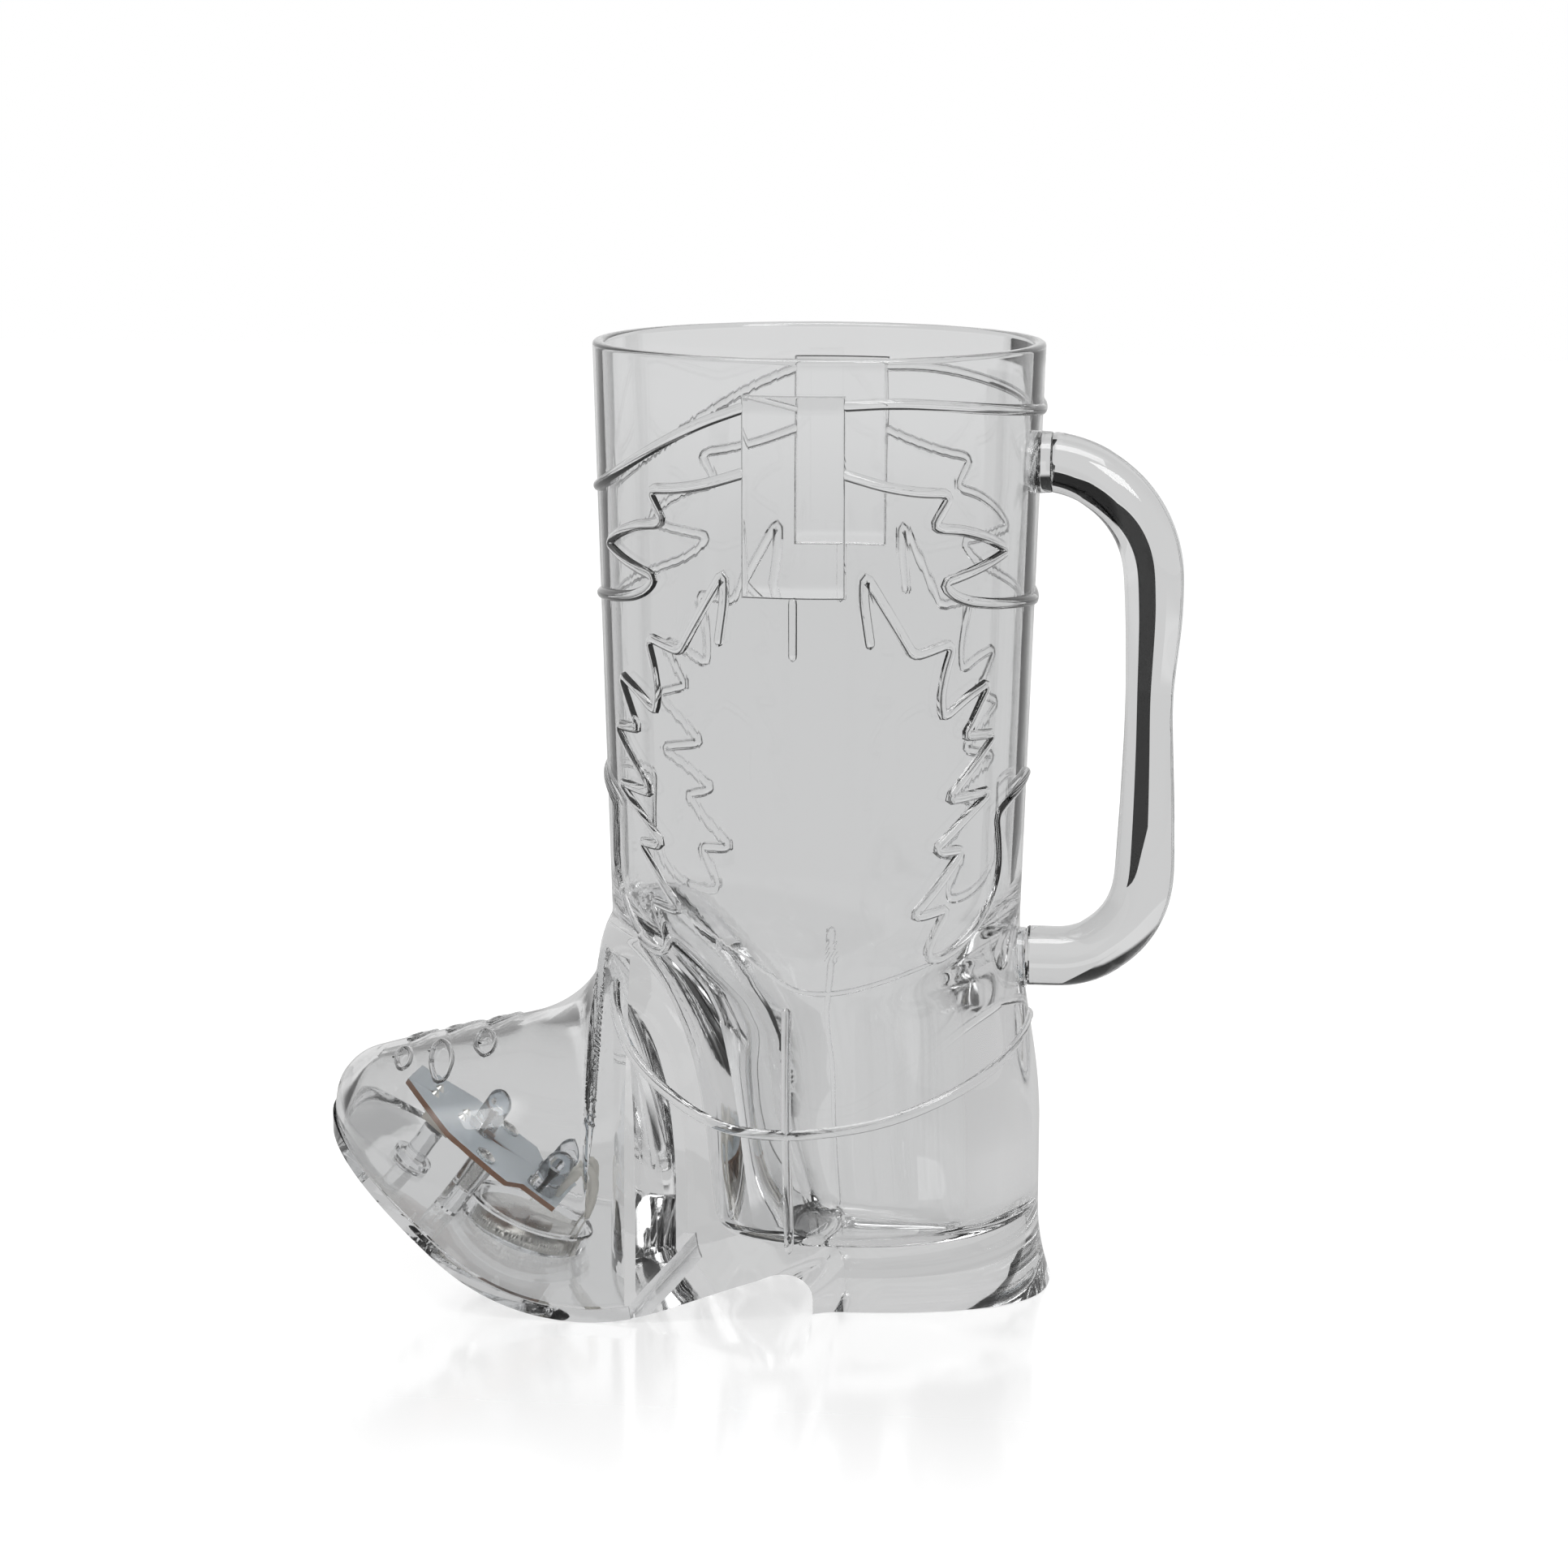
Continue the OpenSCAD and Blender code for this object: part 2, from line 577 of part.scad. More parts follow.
screw_depth = 6;
screw_end = 0.5;
screw_head_h = 1.2;
cross_w = 0.4;
module board_screw(s) color([0.75, 0.75, 0.72]) on_sole(toe_spring)
    translate([screw_u, s * screw_y, board_n]) {
        translate([0, 0, -board_t - screw_depth + screw_end])
            cylinder(r = screw_r - set_fit, h = board_t + screw_depth - screw_end);
        difference() {
            intersection() {
                cylinder(r = screw_head_r, h = screw_head_h);
                translate([0, 0, screw_head_h - 2 * screw_head_r]) sphere(r = 2 * screw_head_r);
            }
            for (a = [0, 90]) rotate(a) translate([-screw_head_r / 2, -cross_w / 2, screw_head_h / 2])
                cube([screw_head_r, cross_w, screw_head_h]);
        }
    }

// Two leads and the small cup and post that they end in inside the lens
module lamp_frame() {
    cup_w = 1.2;
    post_w = 0.8;
    for (s = [-1, 1]) translate([-lead_w / 2, (s * lead_pitch - lead_w) / 2, -board_t - lead_below])
        cube([lead_w, lead_w, board_t + lead_below + lead_up]);
    translate([-cup_w / 2, -(lead_pitch + lead_w) / 2, lead_up])
        cube([cup_w, (lead_pitch + cup_w) / 2, cup_h]);
    translate([-post_w / 2, (lead_pitch - post_w) / 2, lead_up]) cube([post_w, post_w, post_h]);
}

module lamp(p) color([0.9, 0.93, 0.96]) on_sole(toe_spring) translate([p.x, p.y, board_n]) difference() {
    union() {
        cylinder(r = lamp_r + lens_rim, h = lens_rim_h);
        cylinder(r = lamp_r, h = lamp_h - lamp_r);
        translate([0, 0, lamp_h - lamp_r]) sphere(r = lamp_r);
    }
    lamp_frame();
}

module lamp_leads(p) color([0.7, 0.7, 0.68]) on_sole(toe_spring) translate([p.x, p.y, board_n]) lamp_frame();

// Switch under the board, with a sliding plunger that the button pushes
pin_x = 3.25;
pin_y = 2.25;
pin_w = 0.5;
pin_n = 1;
pin_out = 0.9;
plunger_in = 1.9;
plunger_rest = 0.2;
module tact_switch() color([0.88, 0.86, 0.8]) on_sole(toe_spring) translate([switch_u, 0, switch_n])
    difference() {
        hole = plunger_in + button_travel + plunger_rest;
        translate([-switch_w / 2, -switch_w / 2, 0]) cube([switch_w, switch_w, switch_h]);
        translate([0, 0, -over]) cylinder(r = plunger_r + run_fit, h = over + hole);
        for (x = [-1, 1], y = [-1, 1]) translate([x * pin_x - pin_w / 2, y * pin_y - pin_w / 2, pin_n])
            cube([pin_w, pin_w, switch_h]);
    }

module switch_plunger() color([0.1, 0.1, 0.1]) on_sole(toe_spring)
    translate([switch_u, 0, plunger_n]) cylinder(r = plunger_r, h = plunger_out + plunger_in);

module switch_pins() color([0.72, 0.72, 0.7]) on_sole(toe_spring) translate([switch_u, 0, switch_n])
    for (x = [-1, 1], y = [-1, 1]) translate([x * pin_x - pin_w / 2, y * pin_y - pin_w / 2, pin_n])
        cube([pin_w, pin_w, switch_h - pin_n + board_t + pin_out]);

module coin_cell() color([0.78, 0.78, 0.76]) on_sole(cup_a) translate([0, 0, cell_n]) {
    step_h = 0.45;
    step_w = 1.1;
    cylinder(r = cell_r, h = cell_h - step_h);
    translate([0, 0, cell_h - step_h]) cylinder(r = cell_r - step_w, h = step_h);
}

module contact_plus() color([0.8, 0.8, 0.78]) on_sole(cup_a)
    translate([plus_x, plus_y - contact_w / 2, cell_n + contact_lift])
        cube([contact_t, contact_w, tab_n - cell_n - contact_lift]);

// Leaf spring that presses on the middle of the cell, and its solder tab
module contact_minus() color([0.8, 0.8, 0.78]) on_sole(cup_a)
    translate([0, minus_y, 0]) across(contact_w) {
        pad = 1;
        low = cell_n + cell_h + set_fit;
        leaf = cup_in - contact_t;
        end = minus_x + contact_t;
        polygon([[-pad, low], [pad, low], [minus_x - pad, leaf], [end, leaf], [end, tab_n], [minus_x, tab_n],
            [minus_x, cup_in], [minus_x - pad, cup_in], [pad, low + contact_t], [-pad, low + contact_t]]);
    }

// Insulated wire that leaves the board, bends over and comes down on a solder tab
wire_n = 12;
wire_lift = 12;
wire_drop = 9;
function bezier(p, t) = pow(1 - t, 3) * p[0] + 3 * t * pow(1 - t, 2) * p[1]
    + 3 * t * t * (1 - t) * p[2] + pow(t, 3) * p[3];
module wire(y, tab_x) color([0.93, 0.92, 0.88]) {
    path = [sole_point(toe_spring, [wire_u, y, board_n]),
        sole_point(toe_spring, [wire_u, y, board_n + wire_lift]),
        sole_point(cup_a, [tab_x, y, tab_n + wire_drop]), sole_point(cup_a, [tab_x, y, tab_n])];
    sides = 8;
    dt = 0.01;
    skin([for (i = [0:wire_n]) let (t = i / wire_n, c = bezier(path, t),
            e = bezier(path, min(1, t + dt)) - bezier(path, max(0, t - dt)),
            n = [e.z, 0, -e.x] / norm(e))
        [for (k = [0:sides - 1]) let (a = 360 * k / sides)
            c + wire_d / 2 * (cos(a) * n - [0, sin(a), 0])]]);
}

boot_shell();
handle();
toe_sole();
battery_cover();
push_button();
circuit_board();
board_screw(-1);  // screw_near
board_screw(1);  // screw_far
lamp(lamp_places[0]);  // lamp_front
lamp(lamp_places[1]);  // lamp_near
lamp(lamp_places[2]);  // lamp_far
lamp_leads(lamp_places[0]);  // lamp_front_leads
lamp_leads(lamp_places[1]);  // lamp_near_leads
lamp_leads(lamp_places[2]);  // lamp_far_leads
tact_switch();
switch_plunger();
switch_pins();
coin_cell();
contact_plus();
contact_minus();
wire(plus_y, plus_x + contact_t / 2);  // wire_plus
wire(minus_y, minus_x + contact_t / 2);  // wire_minus
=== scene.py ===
import math

import bmesh
import bpy
import numpy as np
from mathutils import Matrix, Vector


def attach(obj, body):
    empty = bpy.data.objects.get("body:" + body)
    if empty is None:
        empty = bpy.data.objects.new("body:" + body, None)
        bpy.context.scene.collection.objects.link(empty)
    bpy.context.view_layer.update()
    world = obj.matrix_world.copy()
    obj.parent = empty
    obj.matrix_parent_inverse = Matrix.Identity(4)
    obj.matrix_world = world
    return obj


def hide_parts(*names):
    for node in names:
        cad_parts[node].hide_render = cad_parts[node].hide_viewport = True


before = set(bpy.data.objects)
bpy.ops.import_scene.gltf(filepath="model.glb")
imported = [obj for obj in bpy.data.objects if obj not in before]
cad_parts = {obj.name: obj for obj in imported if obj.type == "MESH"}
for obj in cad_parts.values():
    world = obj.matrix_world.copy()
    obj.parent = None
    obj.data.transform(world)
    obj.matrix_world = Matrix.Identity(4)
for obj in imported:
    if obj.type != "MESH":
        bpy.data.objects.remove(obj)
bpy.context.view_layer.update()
scene = bpy.context.scene

# Camera: a long lens, a little above the boot and towards the handle, with a slight roll. Its place was
# fitted to the rim, the outline, a strap and the points on which the boot stands.
PHOTO = 1932
FOCAL_PX = 6088.9
CAMERA_AT = (0.11388, -0.90867, 0.25575)
CAMERA_TURN = (79.998, -0.2304, 6.8235)


def placed(name, data):
    obj = bpy.data.objects.new(name, data)
    scene.collection.objects.link(obj)
    return obj


lens = bpy.data.cameras.new("camera")
lens.sensor_width = 36
lens.lens = FOCAL_PX / PHOTO * lens.sensor_width
lens.clip_end = 50
camera = placed("camera", lens)
camera.location = CAMERA_AT
camera.rotation_euler = [math.radians(a) for a in CAMERA_TURN]
scene.camera = camera

# Table: a white glossy sheet that runs out to a white surround. It mirrors the boot faintly near its foot,
# keeps a soft shadow, and looks light grey through the plastic, with painted shade that darkens it close to
# the boot. A thin layer of air parts it from the boot.
scene.view_settings.view_transform = "Standard"
scene.cycles.max_bounces = 28
scene.cycles.transmission_bounces = 28
scene.cycles.glossy_bounces = 10
scene.cycles.blur_glossy = 0.5
TABLE_HALF, TABLE_Z = 2, -0.0001
TABLE_GLOW, SHADOW_SHARE = 1.1, 0.12
MIRROR_SHARE, MIRROR_BLUR = 0.33, 0.12
SEEN_GREY, PAINTED_SHADE_GREY, FAR_GLOW = 0.615, 0.53, 0.09
MIRROR_STARTS, MIRROR_ENDS = (-0.24, -0.03), (0.02, 0.1)
PAINTED_SHADE_SPAN, FAR_BACK = (-0.08, 0.42), (1.0, 1.7)
WHITE = (1, 1, 1, 1)


def wire(tree, out, to):
    tree.links.new(out, to)


def node(tree, kind, **values):
    made = tree.nodes.new(kind)
    for key, value in values.items():
        setattr(made, key, value)
    return made


def empty_tree(owner):
    owner.use_nodes = True
    owner.node_tree.nodes.clear()
    return owner.node_tree


def sums(tree, how, *inputs):
    made = node(tree, "ShaderNodeMath", operation=how)
    for i, value in enumerate(inputs):
        if hasattr(value, "is_linked"):
            wire(tree, value, made.inputs[i])
        else:
            made.inputs[i].default_value = value
    return made.outputs[0]


def ramp(tree, value, low, high, first, last):
    """A soft step from first to last, while the value goes from low to high."""
    made = node(tree, "ShaderNodeMapRange", interpolation_type="SMOOTHSTEP")
    wire(tree, value, made.inputs["Value"])
    for key, number in zip(("From Min", "From Max", "To Min", "To Max"), (low, high, first, last)):
        made.inputs[key].default_value = number
    return made.outputs["Result"]


def flat_mesh(name, corners):
    mesh = bpy.data.meshes.new(name)
    mesh.from_pydata(corners, [], [tuple(range(len(corners)))])
    return placed(name, mesh)


square = ((-1, -1), (1, -1), (1, 1), (-1, 1))
table = flat_mesh("table", [(x * TABLE_HALF, y * TABLE_HALF, TABLE_Z) for x, y in square])
white_table = bpy.data.materials.new("white_table")
tree = empty_tree(white_table)
out = node(tree, "ShaderNodeOutputMaterial")
place = node(tree, "ShaderNodeTexCoord")
split = node(tree, "ShaderNodeSeparateXYZ")
wire(tree, place.outputs["Object"], split.inputs[0])
depth = split.outputs["Y"]
path = node(tree, "ShaderNodeLightPath")
seen = node(tree, "ShaderNodeEmission")
seen.inputs["Strength"].default_value = TABLE_GLOW
lit = node(tree, "ShaderNodeBsdfDiffuse")
lit.inputs["Color"].default_value = WHITE
shade = node(tree, "ShaderNodeMixShader")
shade.inputs[0].default_value = SHADOW_SHARE
wire(tree, seen.outputs[0], shade.inputs[1])
wire(tree, lit.outputs[0], shade.inputs[2])
mirror = node(tree, "ShaderNodeBsdfGlossy")
mirror.inputs["Color"].default_value = WHITE
mirror.inputs["Roughness"].default_value = MIRROR_BLUR
gloss = node(tree, "ShaderNodeMixShader")
mirror_starts = ramp(tree, depth, *MIRROR_STARTS, 0.0, MIRROR_SHARE)
mirror_ends = ramp(tree, depth, *MIRROR_ENDS, 1.0, 0.0)
wire(tree, sums(tree, "MULTIPLY", mirror_starts, mirror_ends), gloss.inputs[0])
wire(tree, shade.outputs[0], gloss.inputs[1])
wire(tree, mirror.outputs[0], gloss.inputs[2])
through = node(tree, "ShaderNodeEmission")
# Painted shade: seen through the plastic, the table is darker close to the boot, as a contact shadow.
grey_with_painted_shade = ramp(tree, depth, *PAINTED_SHADE_SPAN, PAINTED_SHADE_GREY, SEEN_GREY)
far_back = ramp(tree, depth, *FAR_BACK, 0.0, FAR_GLOW)
wire(tree, sums(tree, "ADD", grey_with_painted_shade, far_back), through.inputs["Strength"])
pick = node(tree, "ShaderNodeMixShader")
wire(tree, path.outputs["Is Glossy Ray"], pick.inputs[0])
wire(tree, gloss.outputs[0], pick.inputs[1])
wire(tree, through.outputs[0], pick.inputs[2])
wire(tree, pick.outputs[0], out.inputs["Surface"])
table.data.materials.append(white_table)

# Cards: five upright boards behind the boot, which only show through the plastic. The two dark ones give
# the stripe in the handle and the shaft's dark edges. The three pale ones keep what lies beside those light.
CARD_Y, CARD_DARK = 100, 0.004


def card(name, corners, strength):
    """An upright card, with its corners' X and Z in millimetres."""
    obj = flat_mesh(name, [(x * 0.001, CARD_Y * 0.001, z * 0.001) for x, z in corners])
    paint = bpy.data.materials.new(name)
    tree = empty_tree(paint)
    glow = node(tree, "ShaderNodeEmission")
    glow.inputs["Color"].default_value = (strength, strength, strength, 1)
    end = node(tree, "ShaderNodeOutputMaterial")
    wire(tree, glow.outputs[0], end.inputs["Surface"])
    obj.data.materials.append(paint)
    obj.visible_camera = False
    obj.visible_diffuse = False
    obj.visible_shadow = False
    obj.visible_glossy = False


card("right_card", [(66, 66), (104, 48), (107, 118), (114, 190), (104, 214), (46, 214), (46, 166),
                    (62, 164), (74, 148), (67, 120)], CARD_DARK)
card("low_card", [(-150, 2), (65, 2), (65, 60), (-60, 60), (-60, 44), (-150, 44)], SEEN_GREY)
card("pale_card", [(42, 70), (65.5, 70), (66, 120), (72, 146), (61, 162), (42, 164)], SEEN_GREY)
card("high_card", [(46, 215), (105, 215), (116, 191), (116, 150), (170, 150), (170, 340), (46, 340)],
     SEEN_GREY)
card("left_card", [(-112, 46), (-69, 46), (-69, 215), (-112, 215)], CARD_DARK)

# Surround: white to the camera. Light that comes through the plastic meets a grey band low down, a dark
# room above it and a bright roof in front of the boot, and all other light meets at least a pale grey.
ROOM_DARK, BAND_GREY, ROOF_GLOW, BOUNCED = 0.015, SEEN_GREY + 0.06, 3.2, 0.9
BAND_TOP, ROOF_STARTS, ROOF_BACK = (0.15, 0.26), (0.76, 0.86), (-0.1, 0.15)
world = bpy.data.worlds.new("surround")
scene.world = world
tree = empty_tree(world)
out = node(tree, "ShaderNodeOutputWorld")
place = node(tree, "ShaderNodeTexCoord")
split = node(tree, "ShaderNodeSeparateXYZ")
wire(tree, place.outputs["Generated"], split.inputs[0])
height = split.outputs["Z"]
path = node(tree, "ShaderNodeLightPath")
white = node(tree, "ShaderNodeBackground")
white.inputs["Color"].default_value = WHITE
studio = node(tree, "ShaderNodeBackground")
studio.inputs["Color"].default_value = WHITE
band = ramp(tree, height, *BAND_TOP, 1.0, 0.0)
overhead = ramp(tree, height, *ROOF_STARTS, 0.0, ROOF_GLOW)
in_front = ramp(tree, split.outputs["Y"], *ROOF_BACK, 1.0, 0.0)
roof = sums(tree, "MULTIPLY", overhead, in_front)
bright = sums(tree, "MULTIPLY", BAND_GREY, sums(tree, "MAXIMUM", band, roof))
level = sums(tree, "ADD", ROOM_DARK, bright)
bounced = sums(tree, "SUBTRACT", BOUNCED, path.outputs["Is Transmission Ray"])
wire(tree, sums(tree, "MAXIMUM", level, bounced), studio.inputs["Strength"])
pick = node(tree, "ShaderNodeMixShader")
wire(tree, path.outputs["Is Camera Ray"], pick.inputs[0])
wire(tree, studio.outputs[0], pick.inputs[1])
wire(tree, white.outputs[0], pick.inputs[2])
wire(tree, pick.outputs[0], out.inputs["Surface"])


# Softboxes: three area lamps, at the front left, at the front right and over the boot's front. They aren't
# seen through the plastic, and the left one leaves no highlight on it either.
def softbox(name, at, to, size, power, shine):
    lamp = bpy.data.lights.new(name, "AREA")
    lamp.shape = "RECTANGLE"
    lamp.size, lamp.size_y = size
    lamp.energy = power
    obj = placed(name, lamp)
    obj.location = at
    obj.rotation_euler = (Vector(to) - Vector(at)).to_track_quat("-Z", "Y").to_euler()
    obj.visible_camera = False
    obj.visible_transmission = False
    obj.visible_glossy = shine


softbox("left_softbox", (-0.75, -0.75, 0.75), (0, 0, 0.08), (0.45, 0.7), power=5, shine=False)
softbox("key_softbox", (0.56, -0.66, 0.74), (0.05, 0, 0.12), (0.42, 0.3), power=3.2, shine=True)
softbox("top_softbox", (0.0, -0.35, 1.0), (0.0, 0, 0.1), (1.2, 0.35), power=6.5, shine=True)

# Boot shell: one clear acrylic moulding. A wide round shaft runs down into a foot with a hollow toe and a
# solid heel. Its shape is worked out in millimetres: d runs forwards from the shaft's axis, z upwards.
AXIS = 12.05
BOOT_H, RIM_R, RIM_ROUND, RIM_SUPPORT = 178, 42, 0.8, 0.3
ANKLE_R, ANKLE_Z = 38.4, 70
TOE_REACH, BALL_HALF, WAIST_HALF, HEEL_HALF, BALL_D = 91.5, 40, 35, 27.5, 38
VAMP_RISE, SWEEP_R, CAP_R, CAP_Z = math.radians(13.5), 23, 7, 33.5
ROCKER_R, TOE_SPRING = 48, math.radians(37.2)
TOE_BLUNT, VAMP_ROUND, SIDE_SHARE = 2.4, 2.3, 0.3
COUNTER, COUNTER_RISE, HEEL_FLARE, FLARE_H = 4, 40, 2.5, 14
HEEL_RISE, HEEL_SQUARE, WAIST_IN = 45, 0.6, 4
MERGE_D, MERGE_K = 8, 4
SIDE_POINTS, MORE_POINTS, FOOT_TOP, SPREAD_H = 96, 30, 57, 20
CREASE_D, CREASE_END, CREASE_IN, SPREAD_BACK, SPREAD_IN = 30, 40, 0.4, 58, 12

vamp_n = np.array([math.sin(VAMP_RISE), math.cos(VAMP_RISE)])
cap_c = np.array([TOE_REACH - CAP_R, CAP_Z])
vamp_p = cap_c + CAP_R * vamp_n
sweep_d = ANKLE_R + SWEEP_R
sweep_c = np.array([sweep_d, vamp_p[1] + (SWEEP_R - vamp_n[0] * (sweep_d - vamp_p[0])) / vamp_n[1]])
sweep_p = sweep_c - SWEEP_R * vamp_n
spring_d = BALL_D + ROCKER_R * math.sin(TOE_SPRING)
spring_z = ROCKER_R * (1 - math.cos(TOE_SPRING))


def ease(t):
    u = np.clip(t, 0, 1)
    return u * u * (3 - 2 * u)


def quarter(t, n):
    """A quarter of a rounded square, from 1 at t = 0 down to 0 at t = 1."""
    return np.maximum(0, 1 - np.clip(t, 0, 1) ** n) ** (1 / n)


def root(v):
    return np.sqrt(np.maximum(0, v))


def shaft_r(z):
    return ANKLE_R + (RIM_R - ANKLE_R) * np.maximum(0, z - ANKLE_Z) / (BOOT_H - ANKLE_Z)


def ridge(d):
    """Height of the boot's top line at distance d in front of the shaft's axis."""
    cap = cap_c[1] + root(CAP_R**2 - (d - cap_c[0]) ** 2)
    vamp = vamp_p[1] + (vamp_p[0] - d) * math.tan(VAMP_RISE)
    sweep = sweep_c[1] - root(SWEEP_R**2 - (d - sweep_c[0]) ** 2)
    shaft = sweep_c[1] + ANKLE_R - d
    return np.select([d > vamp_p[0], d > sweep_p[0], d > ANKLE_R], [cap, vamp, sweep], shaft)


def reach(z):
    """Distance of the boot's front from the shaft's axis at height z."""
    sweep = sweep_c[0] - root(SWEEP_R**2 - (z - sweep_c[1]) ** 2)
    vamp = vamp_p[0] - (z - vamp_p[1]) / math.tan(VAMP_RISE)
    cap = cap_c[0] + root(CAP_R**2 - (z - cap_c[1]) ** 2)
    where = [z >= sweep_c[1], z > sweep_p[1], z > vamp_p[1], z > cap_c[1]]
    return np.select(where, [shaft_r(z), sweep, vamp, cap], TOE_REACH)


def sole(d):
    rocker = ROCKER_R - root(ROCKER_R**2 - (d - BALL_D) ** 2)
    toe = spring_z + (d - spring_d) * math.tan(TOE_SPRING)
    return np.select([d > spring_d, d > BALL_D], [toe, rocker], 0)


def foot_half(d, grow=0.0):
    waist = WAIST_HALF + grow + (BALL_HALF - WAIST_HALF) * ease(d / BALL_D)
    toe = (BALL_HALF + grow) * quarter((d - BALL_D) / (TOE_REACH + grow - BALL_D), TOE_BLUNT)
    return np.where(d < BALL_D, waist, toe)


def side_top(d):
    return sole(d) + SIDE_SHARE * (ridge(d) - sole(d))


def foot(d, z):
    s = side_top(d)
    over = (z - s) / np.maximum(0.001, ridge(d) - s)
    return foot_half(d) * np.where(z < s, 1, quarter(over, VAMP_ROUND))


def back(z):
    """Distance of the boot's back from the shaft's axis at height z."""
    swell = COUNTER * ease((ANKLE_Z - z) / COUNTER_RISE)
    return shaft_r(z) + swell + HEEL_FLARE * np.maximum(0, 1 - z / FLARE_H) ** 2


def heel(d, z):
    wide = HEEL_HALF + (shaft_r(z) - HEEL_HALF) * ease(z / HEEL_RISE)
    square = 2 + HEEL_SQUARE * ease((ANKLE_Z - z) / COUNTER_RISE)
    return wide * quarter(np.maximum(0, -d) / back(z), square)


def front(d, z):
    r = shaft_r(z) - WAIST_IN * ease((HEEL_RISE - z) / HEEL_RISE)
    a, b = foot(np.maximum(0, d), z), root(r * r - d * d)
    near = np.maximum(0, MERGE_K - abs(a - b)) / MERGE_K
    return np.maximum(a, b) + near * near * MERGE_K / 4


def half(d, z):
    """Half of the boot's width at distance d and height z."""
    d, z = np.broadcast_arrays(np.asarray(d, float), np.asarray(z, float))
    mix = ease((d + MERGE_D) / (2 * MERGE_D))
    round_shaft = root(shaft_r(z) ** 2 - d * d)
    ankle = np.where(d < 0, heel(d, z), np.maximum(foot(d, z), round_shaft))
    low = (1 - mix) * heel(d, z) + mix * front(d, z)
    return np.select([z >= ANKLE_Z + 2 * MERGE_K, z >= ANKLE_Z], [round_shaft, ankle], low)


def outline(z):
    """The boot's outline at height z, with more points where the foot leaves the shaft.

    Above the foot these points move back and spread over the round shaft.
    """
    turn = np.linspace(0, math.pi, SIDE_POINTS + 1)
    d = (reach(z) - back(z)) / 2 - (reach(z) + back(z)) / 2 * np.cos(turn)
    up = ease((z - FOOT_TOP) / SPREAD_H)
    first, last = CREASE_D - SPREAD_BACK * up, min(CREASE_END, reach(z) - CREASE_IN) - SPREAD_IN * up
    d = np.sort(np.concatenate([d, np.linspace(first, last, MORE_POINTS)]))
    y = -half(d, z)
    y[0] = y[-1] = 0
    return np.concatenate([np.stack([d, y], 1), np.stack([d, -y], 1)[-2:0:-1]])


def inset(p, t):
    e = np.roll(p, -1, 0) - np.roll(p, 1, 0)
    return p + t * np.stack([-e[:, 1], e[:, 0]], 1) / np.linalg.norm(e, axis=1)[:, None]


def to_ring(p, z):
    return np.stack([AXIS - p[:, 0], p[:, 1], np.full(len(p), z)], 1)


def closed(name, verts, faces):
    """A closed mesh in millimetres, with its faces turned outwards, as an object."""
    mesh = bpy.data.meshes.new(name)
    mesh.from_pydata((np.asarray(verts) * 0.001).tolist(), [], faces)
    b = bmesh.new()
    b.from_mesh(mesh)
    bmesh.ops.recalc_face_normals(b, faces=b.faces)
    if b.calc_volume(signed=True) < 0:
        bmesh.ops.reverse_faces(b, faces=b.faces)
    b.to_mesh(mesh)
    b.free()
    return placed(name, mesh)


def skin(name, rings):
    """A skin over rings that have the same number of points, closed by the first and the last ring."""
    rings = np.asarray(rings)
    m, n = rings.shape[:2]
    at = np.arange(m * n).reshape(m, n)
    after = np.roll(at, -1, 1)
    sides = np.stack([at[:-1], after[:-1], after[1:], at[1:]], 2).reshape(-1, 4).tolist()
    return closed(name, rings.reshape(-1, 3), sides + [at[0, ::-1].tolist(), at[-1].tolist()])


# The rings lie closest over the vamp, and one just under the rim's rounding keeps the wall's shading even.
rim_turns = np.radians(np.linspace(15, 90, 6))
levels = np.concatenate([np.linspace(0, 30, 22), np.linspace(30.6, 57, 82), np.linspace(58, 78, 21),
                         np.linspace(84, BOOT_H - RIM_ROUND - RIM_SUPPORT, 14), [BOOT_H - RIM_ROUND]])
rings = [to_ring(outline(z), z) for z in levels]
for a in rim_turns:
    z = BOOT_H - RIM_ROUND * (1 - math.sin(a))
    rings.append(to_ring(inset(outline(z), RIM_ROUND * (1 - math.cos(a))), z))
shell = skin("clear_boot", rings)

# Stubs for the handle: two short bosses of the same acrylic on the back of the shaft, moulded with it. They
# have some draft, and a small round at the end marks the glued joint.
BAR_R, STUB_D, LOW_STUB_D = 5.6, 43.6, 39.9
ARM_TOP_Z, ARM_LOW_Z = 156, 62.4
STUB_ROOT, STUB_DRAFT, STUB_OVER = 36, 0.5, 0.06
JOINT_ROUND, JOINT_ROUND_L = 0.2, 0.25


def lathe(name, profile, at, along, n=64):
    """Radius and height pairs, turned about an axis in the X-Z plane that leaves at in direction along."""
    z_axis = np.asarray(along, float)
    x_axis = np.array([z_axis[2], 0, -z_axis[0]])
    y_axis = np.array([0, 1.0, 0])
    a = np.linspace(0, 2 * math.pi, n, endpoint=False)[:, None]
    around = np.cos(a) * x_axis + np.sin(a) * y_axis
    return skin(name, [np.asarray(at) + r * around + h * z_axis for r, h in profile])


def plain_mesh(obj):
    """What the object's modifiers make of it, as a plain mesh."""
    return bpy.data.meshes.new_from_object(obj.evaluated_get(bpy.context.evaluated_depsgraph_get()))


def carve(obj, tool, how="DIFFERENCE"):
    step = obj.modifiers.new(how, "BOOLEAN")
    step.operation = how
    step.solver = "MANIFOLD"
    step.object = tool
    mesh = plain_mesh(obj)
    obj.modifiers.clear()
    obj.data = mesh
    bpy.data.objects.remove(tool)


for z, end in ((ARM_TOP_Z, STUB_D), (ARM_LOW_Z, LOW_STUB_D)):
    profile = [(BAR_R + STUB_DRAFT, STUB_ROOT), (BAR_R + STUB_OVER, end - JOINT_ROUND_L),
               (BAR_R - JOINT_ROUND, end)]
    carve(shell, lathe("stub", profile, (AXIS, 0, z), (1, 0, 0)), "UNION")

